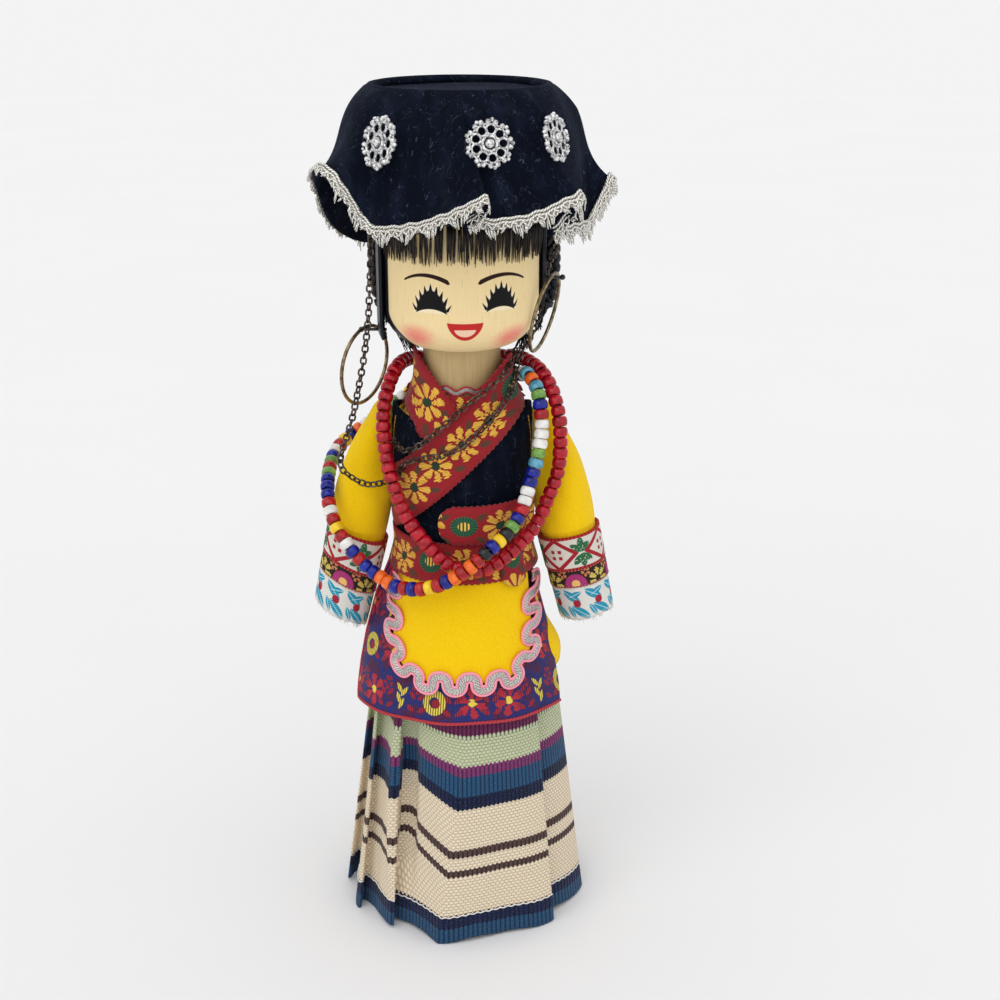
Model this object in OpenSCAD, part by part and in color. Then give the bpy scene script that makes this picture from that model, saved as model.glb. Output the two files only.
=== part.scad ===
// Folk art doll: a turned wooden figure in felt, velvet, ribbon and woven wool, with a pleated
// velvet hat, hoop earrings, draped chains and two strings of glass beads.
// Millimetres. The origin is the middle of the flat foot, +Z is up and the face looks along -Y.
// Left and right are as seen from the front, so left is -X.

/* [Wooden figure] */
// Radius of the flat foot
foot_r = 19; // [17:0.5:19.5]
// Radius of the wooden waist
waist_r = 10.5; // [9:0.5:10.5]
// Radius of the wooden chest
chest_r = 12.7; // [11.5:0.1:12.9]
// Radius of the neck
neck_r = 8.25; // [7.5:0.25:8.3]
// Height of the waist
waist_z = 88; // [86:0.5:90]
// Height of the chest's widest place
chest_z = 104; // [102:0.5:106]
// Height of the shoulder line
shoulder_z = 114; // [113:0.5:114.5]
// Height of the neck's top, where the head sits
head_z = 132.5; // [131.5:0.5:134]
// Radius of the peg that the head turns on
tenon_r = 5; // [3:0.25:6]
// Length of that peg
tenon_l = 12; // [8:0.5:16]
// Radial running clearance at every turning fit
run_gap = 0.05; // [0.02:0.01:0.1]

/* [Head and hat] */
// Radius of the wooden head
head_r = 16.4; // [15.5:0.1:16.4]
// Height of the wooden head
head_h = 38; // [34:0.5:40]
// Rounding of the jaw
jaw_r = 8.5; // [6:0.5:10]
// Thickness of the black hair at the sides and back
hair_t = 1.4; // [1:0.1:1.6]
// Half of the angle that the face takes between the hair's edges
face_half_angle = 79; // [60:1:80]
// Height of the hair fringe's cut edge above the head's bottom
fringe_h = 20.5; // [18:0.5:22]
// Height of the hat's seat above the head's bottom
hat_seat_h = 27.5; // [26:0.5:29]
// Height of the hat above its seat
hat_h = 26.3; // [24:0.1:30]
// Radius of the hat's flat top
hat_top_r = 18.6; // [18.6:0.1:20]
// Radius of the hat at its hem, between the pleats
hat_hem_r = 24.6; // [24:0.1:26]
// How far a pleat's edge stands out at the hem
hat_flare = 5.4; // [2:0.1:7]
// How far the hem hangs below the hat's seat between the pleats
hat_drop = 3.5; // [1:0.5:5]
// How far the hem lifts at a pleat's edge
hat_lift = 10.5; // [4:0.5:12]
// Thickness of the velvet of the hat
hat_t = 0.8; // [0.6:0.1:0.9]
// Width of the silver lace at the hat's hem
lace_w = 2.8; // [2:0.1:3.5]

/* [Clothes] */
// Thickness of the felt
felt_t = 0.9; // [0.6:0.1:0.9]
// Thickness of the bodice's velvet
velvet_t = 0.9; // [0.6:0.1:0.9]
// Thickness of the embroidered ribbon
ribbon_t = 0.7; // [0.4:0.1:0.7]
// Gap between two layers of cloth
layer_gap = 0.1; // [0.05:0.01:0.15]
// Height of the tunic's hem
tunic_hem_z = 52.5; // [48:0.5:54]
// Inner radius of the tunic at its hem
tunic_hem_r = 21.8; // [21:0.1:22.4]
// Thickness of the woven skirt
skirt_t = 1.1; // [0.8:0.1:1.1]
// Half width of the skirt at its hem, between the pleats
skirt_hem_x = 26.6; // [24:0.2:28]
// Half depth of the skirt at its hem, between the pleats
skirt_hem_y = 22.8; // [22.6:0.2:26]
// Depth of the pleats at the hem
pleat_depth = 1.5; // [0.5:0.1:1.5]
// Height of the collar's top above the shoulder line
collar_h = 13.5; // [12.5:0.1:13.8]
// Width of the lapel ribbons
lapel_w = 9.6; // [7:0.2:10.5]
// Width of the belt
belt_w = 8.8; // [6:0.2:9.2]
// Half width of the yellow apron panel
apron_half_w = 15.2; // [12:0.2:15.4]
// Height of the apron panel's lowest edge
apron_low_z = 62.5; // [60:0.5:66]
// Width of the brocade border that shows below the panel
border_w = 11; // [6:0.5:11]
// Thickness of the wavy trim
wave_d = 1.1; // [0.6:0.1:1.4]
// Swing of the wavy trim to each side
wave_swing = 1.4; // [0.5:0.1:1.5]

/* [Arms] */
// Distance of each arm's pivot from the middle
arm_x = 18.6; // [18.6:0.1:20]
// Angle that the arms stand off the body
arm_lean = 10; // [9.5:0.5:14]
// Length of the arm below its pin
arm_l = 46.3; // [42:0.1:50]
// Radius of the sleeve at its fullest
sleeve_r = 6.4; // [5.5:0.1:6.4]
// Radius of the arm inside the cuffs
wrist_r = 6.1; // [5:0.1:6.2]
// Length of the cuffs' three bands together
cuff_l = 19.8; // [15:0.1:22]
// Radius of the shoulder pins
shoulder_pin_r = 1; // [0.6:0.1:1.4]

/* [Jewellery] */
// Diameter of the red beads
red_d = 3; // [2:0.1:3]
// Length of a red bead along its thread
red_l = 1.95; // [1.5:0.05:2.3]
// Diameter of the mixed beads
mixed_d = 2.9; // [2:0.1:2.9]
// Length of a mixed bead along its thread
mixed_l = 1.8; // [1.6:0.1:2.4]
// Diameter of the bead threads
thread_d = 0.6; // [0.4:0.1:0.8]
// Diameter of the hole in a bead
bead_hole_d = 1.2; // [1:0.1:1.4]
// Diameter over the links of the chains
chain_d = 1.2; // [0.8:0.1:1.3]
// Radius of an earring hoop at the middle of its wire
hoop_r = 8.5; // [7:0.1:8.6]
// Diameter of the hoop's wire
hoop_wire_d = 0.8; // [0.6:0.1:1]
// Radius of the ear pins
ear_pin_r = 0.6; // [0.4:0.05:0.7]
// Height of the left ear pin above the head's bottom
left_pin_h = 2.4; // [2.2:0.1:4]
// Height of the right ear pin above the head's bottom
right_pin_h = 13.6; // [10:0.1:16]
// Diameter of the hat's silver rosettes
rosette_d = 9; // [6:0.5:10]

/* [Hidden] */
$fn = 64;

wood = "BurlyWood";
felt_yellow = "Gold";
velvet_black = "MidnightBlue";
ribbon_red = "Firebrick";
silver = "Silver";
hair_black = "Black";
bronze = "DimGray";

// Levels of the figure
neck_rise = 7;
neck_base_z = shoulder_z + neck_rise;
collar_top_z = shoulder_z + collar_h;
hat_seat_z = head_z + hat_seat_h;
hat_top_z = hat_seat_z + hat_h;
hem_clear = 0.4;

// Radius of the body inside the clothes, by height
skirt_band_r = waist_r + layer_gap;
form_waist_r = skirt_band_r + skirt_t + layer_gap;
form_chest_r = chest_r + layer_gap;
shoulder_fall = 0.6;
shoulder_slope_h = 4;
shoulder_slope_r = 1.8;
border_flare = 0.3;
border_low_z = apron_low_z - border_w;
border_low_r = tunic_hem_r + border_flare;
form_shoulder_r = form_chest_r - shoulder_fall;
form_top_z = shoulder_z + shoulder_slope_h;
form_top_r = form_shoulder_r - shoulder_slope_r;
form = [
    [border_low_z, border_low_r],
    [tunic_hem_z, tunic_hem_r],
    [waist_z, form_waist_r],
    [chest_z, form_chest_r],
    [shoulder_z, form_shoulder_r],
    [form_top_z, form_top_r]
];

// Lifts of the layers above that form
over_tunic = felt_t + layer_gap;
over_bodice = over_tunic + velvet_t + layer_gap;
over_border = over_tunic + ribbon_t + layer_gap;
over_panel = over_border + felt_t + layer_gap;
ribbon_step = ribbon_t + layer_gap;
belt_below_waist = 4.7;
belt_low_z = waist_z - belt_below_waist;
belt_top_z = belt_low_z + belt_w;

// Collar: the lapels leave the form at the shoulder and lean in to the neck
collar_fold_h = 0.5;
collar_fold_r = 0.2;
collar_stand_h = 3;
collar_low_out = 1.65;
collar_top_out = 1.35;
collar = [
    [belt_top_z, lookup(belt_top_z, form) + over_bodice],
    [chest_z, form_chest_r + over_bodice],
    [shoulder_z, form_shoulder_r + over_bodice],
    [form_top_z + collar_fold_h, form_top_r + over_bodice + collar_fold_r],
    [collar_top_z - collar_stand_h, neck_r + collar_low_out],
    [collar_top_z, neck_r + collar_top_out]
];

// Pleats: a table of angle from the front and how far the cloth stands out there
skirt_pleat_angles = [-170, -140, -115, -90, -65, -40, 50, 85, 115, 150];
skirt_front_angle = -40;
skirt_pleats = concat(
    [[-180, 0.5]],
    [for (angle = skirt_pleat_angles) each angle == skirt_front_angle
        ? [[angle, 1], [angle + 5, -1], [-5, 1], [20, 0.5]]
        : [[angle, 1], [angle + 5, -1]]],
    [[180, 0.5]]
);
hat_back_angles = [95, 150];
hat_pleats = concat(
    [[-180, 0.2], [-158, 0.35], [-150, 1], [-145, 0.1], [-130, 0.1], [-112, 0.3], [-100, 0.7], [-90, 0.95],
    [-75, 1.12], [-60, 1.42], [-50, 1.4], [-45, 1.1], [-41, 0.5], [-36, 0.36], [-24, 0.42], [-14, 0.52],
    [-5, 0.68], [3, 0.84], [10, 1.03], [15, 0.57], [28, 0.61], [36, 0.71], [50, 0.95], [55, 0.3], [70, 0.25]],
    [for (angle = hat_back_angles) each [[angle - 8, 0.4], [angle, 1], [angle + 5, 0.15], [angle + 20, 0.15]]],
    [[180, 0.2]]
);
round_steps = 72;
step_angle = 360 / round_steps;

// Bead routes, each a closed loop that starts at the right of the neck or its left
red_route = [
    [-13.5, 1, 127.3], [-15.5, -3.5, 124], [-16.5, -7, 119.5], [-16.5, -9, 115], [-15.8, -10.5, 110],
    [-14.6, -13, 105.5], [-12.5, -14.6, 100], [-10, -16, 96], [-7.5, -17.2, 93], [-4.5, -18, 90],
    [-1.5, -18.3, 88], [4, -18.2, 87.3], [9, -16.6, 89.6], [12.5, -14, 92], [16, -11.5, 95.5],
    [18.5, -10, 101], [20.5, -9.2, 106.5], [21, -8.5, 113], [20.5, -7, 119], [19, -4, 123.5],
    [17, -1, 126.3], [14.5, 3.5, 127.2], [11, 8.5, 127.2], [0, 13, 126], [-10, 8.5, 127]
];
mixed_route = [
    [13.9, -2.8, 126.2], [15.8, -5.9, 124.2], [16.6, -8, 121], [17, -9.6, 116.5], [16.2, -11.5, 111],
    [14.7, -13, 106], [13.6, -14.4, 102.4], [12.2, -16.2, 99], [9.4, -18.6, 95.6], [5.8, -21, 93],
    [2.6, -22.2, 90.2], [-1.5, -22.2, 87.2], [-5, -21.4, 85.2], [-9, -20, 83.8], [-14, -17.5, 83.4],
    [-17.6, -15.2, 84.8], [-20.8, -13.6, 86.8], [-24.2, -12.4, 90.4], [-27, -10, 94.2], [-28.8, -6.5, 98],
    [-29.4, -2.6, 101.4], [-29.3, 3.4, 103.8], [-28.4, 8.8, 105.8], [-25.2, 13, 108], [-20, 14.6, 111.4],
    [-13.4, 14.8, 116.4], [-6.6, 15.2, 120.6], [0, 15.5, 122], [7.5, 13.5, 122.8], [11.8, 7.5, 123.6],
    [12.6, 2, 124.8]
];

// Chain routes, from the hat down one side, across the chest and up the other side
left_drop_route = [
    [-18, -8, 157], [-18.5, -8.2, 148], [-19, -8.6, 140], [-20, -9, 132], [-21.8, -9.2, 123],
    [-23.3, -9, 117], [-25, -8.4, 112], [-25.8, -8, 109.3]
];
lower_chest_route = [
    [-25.8, -8, 108.8], [-25.2, -8.6, 106.4], [-20, -10, 103.8], [-14.4, -10.2, 105.4],
    [-11.6, -13.2, 109.6], [-7.3, -15.8, 111.5], [-2.4, -17.2, 113], [2.3, -16.6, 116],
    [6.3, -13.8, 119.5], [9.6, -9.6, 122.6], [11.3, -4.5, 125.4], [11.8, -0.5, 128], [12.8, 1, 130.5]
];
upper_chest_route = [
    [-14.6, -7.2, 112.8], [-12.1, -13.2, 112.4], [-9, -15.7, 114], [-5.1, -16.1, 117.2], [-1.6, -15.1, 120],
    [0.8, -14.1, 122], [4.5, -12.1, 124.5], [7.9, -10.2, 126.8], [10.2, -5.6, 128.9], [10.9, -1.5, 129.9],
    [11.3, 0.3, 130.6]
];
right_drop_route = [
    [19.4, -6, 157], [19.8, -3, 152.5], [19, 3, 149.8], [18.2, 7, 146], [17.4, 8, 141],
    [16.6, 8, 136.5], [15, 5.5, 132.6], [13.3, 1.8, 131]
];

// Braids hang behind the ears from inside the hat, with heights above the head's bottom
left_braid_points = [[-18.2, 9.8, 25.5], [-18.6, 10.2, 17.5], [-18.2, 10.6, 9.5], [-16.6, 11, 3]];
right_braid_points = [[18.2, 10.6, 25.5], [18.4, 11.2, 17.5], [18, 11.6, 9.5], [16.6, 11.8, 2.5]];
left_braid_route = lifted(left_braid_points, head_z);
right_braid_route = lifted(right_braid_points, head_z);
braid_d = 3.4;
braid_tie_at = 0.82;

// Order of the colours on the mixed string, one letter a bead
mixed_order = str("totgbrwwwgtbbwwrbgkybkrorobryrbrboobbrbwryrwrbbbgr",
    "gbwrybowtrbgwyrbwrbgyorbtwbrgybw");

// Direction of a vector, a point brought down to the floor, and points lifted by a height
function unit(v) = v / norm(v);
function flat(p) = [p.x, p.y, 0];
function lifted(pts, h) = [for (p = pts) [p.x, p.y, p.z + h]];

// Point between p1 and p2 on the smooth curve through four points
function smooth_point(p0, p1, p2, p3, t) = 0.5 * (2 * p1 + (p2 - p0) * t
    + (2 * p0 - 5 * p1 + 4 * p2 - p3) * t * t + (3 * p1 - p0 - 3 * p2 + p3) * t * t * t);
function closed_curve(pts, cuts) = let (n = len(pts))
    [for (i = [0 : n - 1], j = [0 : cuts - 1])
        smooth_point(pts[(i + n - 1) % n], pts[i], pts[(i + 1) % n], pts[(i + 2) % n], j / cuts)];
function open_curve(pts, cuts) = let (n = len(pts)) concat(
    [for (i = [0 : n - 2], j = [0 : cuts - 1])
        smooth_point(pts[max(i - 1, 0)], pts[i], pts[i + 1], pts[min(i + 2, n - 1)], j / cuts)],
    [pts[n - 1]]);

// Distances along a curve, and the place at a distance
function run_lengths(pts) = [for (i = 0, s = 0; i < len(pts); s = s + (i + 1 < len(pts)
    ? norm(pts[i + 1] - pts[i]) : 0), i = i + 1) s];
function place_at(pts, runs, s) = [for (axis = [0 : 2])
    lookup(s, [for (i = [0 : len(pts) - 1]) [runs[i], pts[i][axis]]])];

// Ring of a tube's points round p, in the plane across the direction
function tube_ring(p, along, r, sides) = let (out = unit(flat(p) - (flat(p) * along) * along),
    side = cross(along, out))
    [for (k = [0 : sides - 1]) p + r * (cos(k * 360 / sides) * out + sin(k * 360 / sides) * side)];

// Triangles of a grid of rings, wrapped round each ring, and end to end where it is closed
function grid_faces(rows, cols, closed) = [for (i = [0 : rows - (closed ? 1 : 2)], j = [0 : cols - 1])
    let (a = i * cols + j, b = i * cols + (j + 1) % cols,
        c = ((i + 1) % rows) * cols + (j + 1) % cols, d = ((i + 1) % rows) * cols + j)
    each [[a, c, b], [a, d, c]]];
function end_faces(rows, cols) = concat(
    [for (j = [1 : cols - 2]) [0, j, j + 1]],
    [for (j = [1 : cols - 2]) [(rows - 1) * cols, (rows - 1) * cols + j + 1, (rows - 1) * cols + j]]);

module closed_tube(pts, r, sides = 8) {
    n = len(pts);
    rings = [for (i = [0 : n - 1])
        each tube_ring(pts[i], unit(pts[(i + 1) % n] - pts[(i + n - 1) % n]), r, sides)];
    polyhedron(points = rings, faces = grid_faces(n, sides, true));
}

module open_tube(pts, r, sides = 8) {
    n = len(pts);
    rings = [for (i = [0 : n - 1])
        each tube_ring(pts[i], unit(pts[min(i + 1, n - 1)] - pts[max(i - 1, 0)]), r, sides)];
    polyhedron(points = rings, faces = concat(grid_faces(n, sides, false), end_faces(n, sides)));
}

// Closed band of cloth: a loop of profile points, each a ring round the doll
module wrapped_cloth(rings) {
    polyhedron(points = [for (ring = rings) each ring],
        faces = grid_faces(len(rings), len(rings[0]), true));
}

// Layer of cloth of revolution on a form, from one height to another
function form_cuts(profile, z0, z1) = concat(
    [z0], [for (p = profile) if (p[0] > z0 && p[0] < z1) p[0]], [z1]);
module layer(profile, z0, z1, lift, thick) {
    heights = form_cuts(profile, z0, z1);
    last = len(heights) - 1;
    rotate_extrude()
        polygon(concat(
            [for (z = heights) [lookup(z, profile) + lift, z]],
            [for (i = [last : -1 : 0]) [lookup(heights[i], profile) + lift + thick, heights[i]]]));
}

// Flat outline in X and Z, cut through the front half of the doll
front_depth = 2 * border_low_r;
module front_cut() {
    rotate([90, 0, 0])
        linear_extrude(front_depth)
            children();
}

// Wooden figure
module body_peg() {
    color(wood)
        difference() {
            rotate_extrude()
                polygon([
                    [0, 0], [foot_r, 0], [waist_r, waist_z], [chest_r, chest_z],
                    [form_shoulder_r - layer_gap, shoulder_z], [form_top_r - layer_gap, form_top_z],
                    [neck_r, neck_base_z], [neck_r, head_z - layer_gap], [tenon_r, head_z - layer_gap],
                    [tenon_r, head_z + tenon_l], [0, head_z + tenon_l]
                ]);
            shoulder_holes();
        }
}

pin_rise = 2.5;
pin_end = 0.6;
pin_z = shoulder_z + pin_rise;
pin_inner_x = 7.5;
pin_outer_x = arm_x + pin_end;
module shoulder_holes() {
    for (side = [-1, 1])
        translate([side * (pin_inner_x - layer_gap), 0, pin_z])
            rotate([0, side * 90, 0])
                cylinder(r = shoulder_pin_r + run_gap, h = arm_x);
}

// Felt bosses that the sleeves sit against
boss_r = 2;
boss_x = 14.7;
module shoulder_bosses(r) {
    for (side = [-1, 1])
        translate([side * form_top_r, 0, pin_z])
            rotate([0, side * 90, 0])
                cylinder(r = r, h = boss_x - form_top_r);
}

module shoulder_pin(side) {
    color("Tan")
        translate([side * pin_inner_x, 0, pin_z])
            rotate([0, side * 90, 0])
                cylinder(r = shoulder_pin_r, h = pin_outer_x - pin_inner_x);
}
module left_shoulder_pin() { shoulder_pin(-1); }
module right_shoulder_pin() { shoulder_pin(1); }

// Skirt: a pleated tube that hangs from the waist
skirt_hip_in = 1.5;
skirt_hip_r = tunic_hem_r - skirt_hip_in;
hip_pleat = 1.1;
band_pleat = 0.1;
skirt_levels = [hem_clear, 8, 20, 36, tunic_hem_z, tunic_hem_z + 18, waist_z];
function hem_oval(angle) = norm([skirt_hem_x * sin(angle), skirt_hem_y * cos(angle)]);
function skirt_r(angle, z) = let (
    base = lookup(z, [
        [hem_clear, hem_oval(angle)],
        [tunic_hem_z, skirt_hip_r],
        [waist_z, skirt_band_r + skirt_t - band_pleat]
    ]),
    depth = lookup(z, [[hem_clear, pleat_depth], [tunic_hem_z, hip_pleat], [waist_z, band_pleat]])
) base + depth * lookup(angle, skirt_pleats);
function round_point(r, angle, z) = [r * sin(angle), -r * cos(angle), z];
function turn_angles() = [for (k = [0 : round_steps - 1]) k * step_angle - 180];
module skirt() {
    top = len(skirt_levels) - 1;
    inside_cut = skirt_t - 2 * band_pleat;
    color("Linen")
        wrapped_cloth(concat(
            [for (z = skirt_levels) [for (a = turn_angles()) round_point(skirt_r(a, z), a, z)]],
            [for (i = [top : -1 : 0]) let (z = skirt_levels[i])
                [for (a = turn_angles()) round_point(skirt_r(a, z) - inside_cut, a, z)]]));
}

module tunic() {
    color(felt_yellow)
        difference() {
            union() {
                layer(form, tunic_hem_z, form_top_z, 0, felt_t);
                difference() {
                    shoulder_bosses(boss_r);
                    layer(form, chest_z, form_top_z + 2, -form_top_r + 1, form_top_r - 1 + felt_t / 2);
                }
            }
            shoulder_holes();
        }
}

bodice_tuck = 2;
bodice_top_drop = 0.5;
bodice_low_z = belt_top_z - bodice_tuck;
module bodice() {
    color(velvet_black)
        difference() {
            layer(form, bodice_low_z, form_top_z - bodice_top_drop, over_tunic, velvet_t);
            shoulder_bosses(boss_r + layer_gap);
        }
}

// Lapels: ribbons that lean across the chest, the right one over the left
over_slope = 43;
under_slope = -48;
lapel_cross_z = 113.2;
lapel_half_span = 13.4;
lapel_low = 1;
lapel_reach = 2 * (lapel_half_span + collar_top_z - belt_top_z);
module lapel_outline(slope) {
    intersection() {
        translate([0, lapel_cross_z])
            rotate(slope)
                square([lapel_reach, lapel_w], center = true);
        translate([-lapel_half_span, belt_top_z + lapel_low])
            square([2 * lapel_half_span, collar_top_z - belt_top_z - lapel_low]);
    }
}
module over_lapel() {
    color(ribbon_red)
        intersection() {
            layer(collar, belt_top_z, collar_top_z, ribbon_step, ribbon_t);
            front_cut() lapel_outline(over_slope);
        }
}
module under_lapel() {
    color(ribbon_red)
        intersection() {
            layer(collar, belt_top_z, collar_top_z, 0, ribbon_t);
            front_cut()
                difference() {
                    lapel_outline(under_slope);
                    translate([0, lapel_cross_z])
                        rotate(over_slope)
                            translate([-lapel_reach, -lapel_reach - lapel_w / 4])
                                square([2 * lapel_reach, lapel_reach]);
                }
        }
}
collar_back_rise = 1;
module collar_back() {
    color(ribbon_red)
        difference() {
            layer(collar, form_top_z + collar_back_rise, collar_top_z, 0, ribbon_t);
            translate([0, layer_gap, 0])
                front_cut() translate([-lapel_reach, 0]) square([2 * lapel_reach, 2 * collar_top_z]);
        }
}

// Cord that edges the collar round the neck, lower at the front
collar_cord_r = 0.45;
collar_dip = 2;
module collar_trim() {
    cord_ring_r = neck_r + collar_cord_r + 2 * layer_gap;
    color("IndianRed")
        closed_tube([for (k = [0 : 35]) round_point(cord_ring_r, 10 * k,
            collar_top_z - collar_dip * (1 + cos(10 * k)) + collar_cord_r)], collar_cord_r);
}

// Belt: a ribbon round the waist, a second turn across the front and its loose end
belt_lift = over_panel;
module belt() {
    color(ribbon_red)
        layer(form, belt_low_z, belt_top_z, belt_lift, ribbon_t);
}
belt_front_x = 4.4;
belt_front_reach = 15.4;
belt_round_r = 3.8;
module round_end(x0, x1, z0, h, r) {
    translate([x0 + r, z0]) square([x1 - x0 - r, h]);
    translate([x0, z0 + r]) square([r, h - 2 * r]);
    translate([x0 + r, z0 + r]) circle(r);
    translate([x0 + r, z0 + h - r]) circle(r);
}
module belt_front() {
    low_z = belt_top_z + layer_gap;
    color(ribbon_red)
        intersection() {
            layer(form, low_z, low_z + belt_w, over_bodice + 2 * ribbon_step, ribbon_t);
            front_cut() round_end(-belt_front_x, belt_front_reach, low_z, belt_w, belt_round_r);
        }
}
belt_tab_x = 7.6;
belt_tab_w = 6;
belt_tab_drop = 1.4;
module belt_tab() {
    tab_z = belt_low_z - belt_tab_drop;
    color(ribbon_red)
        intersection() {
            layer(form, tab_z, belt_top_z, belt_lift + ribbon_step, ribbon_t);
            front_cut()
                translate([belt_tab_x, tab_z]) {
                    translate([belt_tab_w / 2, belt_tab_w / 2]) circle(belt_tab_w / 2);
                    translate([0, belt_tab_w / 2])
                        square([belt_tab_w, belt_w + belt_tab_drop - belt_tab_w / 2]);
                }
        }
}

// Apron: a brocade panel with a yellow felt panel on it and a wavy trim along the felt's edge
apron_top_z = bodice_low_z - layer_gap;
apron_top_in = 1.6;
apron_corner_r = 7.5;
border_side_w = 6.6;
border_half_w = apron_half_w + border_side_w;
border_top_half_w = 11.5;
border_shift = 1;
border_corner_r = 5;
corner_steps = 9;
function corner_arc(x, z, r, from) = [for (k = [0 : corner_steps])
    [x + r * cos(from + 90 * k / corner_steps), z + r * sin(from + 90 * k / corner_steps)]];
module rounded_apron(top_half, half_w, low_z, r) {
    polygon(concat(
        [[top_half, apron_top_z], [-top_half, apron_top_z]],
        corner_arc(r - half_w, low_z + r, r, 180),
        corner_arc(half_w - r, low_z + r, r, 270)));
}
module apron_border() {
    color("DarkSlateBlue")
        intersection() {
            layer(form, border_low_z, apron_top_z, over_tunic, ribbon_t);
            front_cut()
                translate([-border_shift, 0])
                    rounded_apron(border_top_half_w, border_half_w, border_low_z, border_corner_r);
        }
}
module apron_panel() {
    color(felt_yellow)
        intersection() {
            layer(form, apron_low_z, apron_top_z, over_border, felt_t);
            front_cut() rounded_apron(apron_half_w - apron_top_in, apron_half_w, apron_low_z, apron_corner_r);
        }
}
trim_drop = 0.6;
trim_top_z = belt_low_z - wave_d - trim_drop;
trim_straight = trim_top_z - apron_low_z - apron_corner_r;
trim_arc = apron_corner_r * 90 * PI / 180;
trim_base = 2 * (apron_half_w - apron_corner_r);
trim_l = 2 * trim_straight + 2 * trim_arc + trim_base;
trim_waves = 10;
trim_steps = 80;
// Place and outward direction on the panel's edge, at a distance from its left top
function edge_at(s) =
    s < trim_straight ? [[-apron_half_w, trim_top_z - s], [-1, 0]]
    : s < trim_straight + trim_arc
        ? let (a = (s - trim_straight) / apron_corner_r * 180 / PI, d = [-cos(a), -sin(a)])
            [[apron_corner_r - apron_half_w, apron_low_z + apron_corner_r] + apron_corner_r * d, d]
    : s < trim_straight + trim_arc + trim_base / 2
        ? [[s - trim_straight - trim_arc - trim_base / 2, apron_low_z], [0, -1]]
    : let (m = edge_at(trim_l - s - 0.0001)) [[-m[0].x, m[0].y], [-m[1].x, m[1].y]];
function on_form(x, z, lift) = [x, -sqrt(max(pow(lookup(z, form) + lift, 2) - x * x, 0.01)), z];
module apron_wave_trim() {
    trim_lift = over_panel + wave_d / 2;
    color("LightPink")
        open_tube([for (k = [0 : trim_steps])
            let (e = edge_at(trim_l * k / trim_steps),
                p = e[0] + wave_swing * sin(360 * trim_waves * k / trim_steps) * e[1])
            on_form(p.x, p.y, trim_lift)], wave_d / 2);
}

// Strings of beads
bead_gap = 0.25;
bead_rim = 0.12;
curve_cuts = 3;
red_curve = closed_curve(red_route, curve_cuts);
mixed_curve = closed_curve(mixed_route, curve_cuts);
module bead(d, l) {
    edge = min(l / 3, (d - bead_hole_d) / 2 - bead_rim);
    rotate_extrude($fn = 32)
        polygon([
            [bead_hole_d / 2, -l / 2], [d / 2 - edge, -l / 2], [d / 2, -l / 2 + edge],
            [d / 2, l / 2 - edge], [d / 2 - edge, l / 2], [bead_hole_d / 2, l / 2]
        ]);
}
// Beads at even steps along a closed curve, those whose letter is asked for
module beads_on(curve, d, l, letters, order) {
    loop = concat(curve, [curve[0]]);
    runs = run_lengths(loop);
    total = runs[len(runs) - 1];
    count = floor(total / (l + bead_gap));
    pitch = total / count;
    for (i = [0 : count - 1])
        if (order[i % len(order)] == letters) {
            p = place_at(loop, runs, i * pitch);
            ahead = place_at(loop, runs, (i * pitch + l / 2) % total);
            behind = place_at(loop, runs, (i * pitch - l / 2 + total) % total);
            way = unit(ahead - behind);
            translate(p)
                rotate([0, acos(way.z), atan2(way.y, way.x)])
                    bead(d, l);
        }
}
module red_beads() { color("DarkRed") beads_on(red_curve, red_d, red_l, "r", "r"); }
module mixed_beads(letter) { beads_on(mixed_curve, mixed_d, mixed_l, letter, mixed_order); }
module mixed_blue_beads() { color("MediumBlue") mixed_beads("b"); }
module mixed_red_beads() { color("Crimson") mixed_beads("r"); }
module mixed_white_beads() { color("White") mixed_beads("w"); }
module mixed_orange_beads() { color("OrangeRed") mixed_beads("o"); }
module mixed_yellow_beads() { color("Yellow") mixed_beads("y"); }
module mixed_green_beads() { color("OliveDrab") mixed_beads("g"); }
module mixed_turquoise_beads() { color("CadetBlue") mixed_beads("t"); }
module mixed_black_beads() { color("Black") mixed_beads("k"); }
module red_bead_thread() { color("Maroon") closed_tube(red_curve, thread_d / 2); }
module mixed_bead_thread() { color("DimGray") closed_tube(mixed_curve, thread_d / 2); }

// Chains
module chain(route) { color(bronze) open_tube(open_curve(route, 3), chain_d / 2); }
module left_drop_chain() { chain(left_drop_route); }
module lower_chest_chain() { chain(lower_chest_route); }
module upper_chest_chain() { chain(upper_chest_route); }
module right_drop_chain() { chain(right_drop_route); }

// Head
crown_round_r = 6;
socket_spare = 0.5;
module head_block() {
    top = head_z + head_h;
    color(wood)
        difference() {
            rotate_extrude() {
                translate([0, head_z]) square([head_r - jaw_r, head_h]);
                intersection() {
                    translate([head_r - jaw_r, head_z + jaw_r]) circle(jaw_r);
                    translate([0, head_z]) square([head_r, head_h]);
                }
                translate([0, head_z + jaw_r]) square([head_r, head_h - jaw_r - crown_round_r]);
                translate([head_r - crown_round_r, top - crown_round_r]) circle(crown_round_r);
                translate([0, top - crown_round_r]) square([head_r - crown_round_r, crown_round_r]);
            }
            translate([0, 0, head_z - 1])
                cylinder(r = tenon_r + run_gap, h = tenon_l + socket_spare + 1);
            ear_holes();
        }
}
hair_in_r = head_r + layer_gap;
hair_out_r = hair_in_r + hair_t;
back_low = 7;
lock_low = 1;
lock_angle = 24;
face_turn = 7;
back_sweep = 360 - 2 * face_half_angle;
module hair_arc(from, sweep, low, high, in_r, thick) {
    rotate([0, 0, from - 90 + face_turn])
        rotate_extrude(angle = sweep)
            translate([in_r, head_z + low])
                square([thick, high - low]);
}
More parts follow.
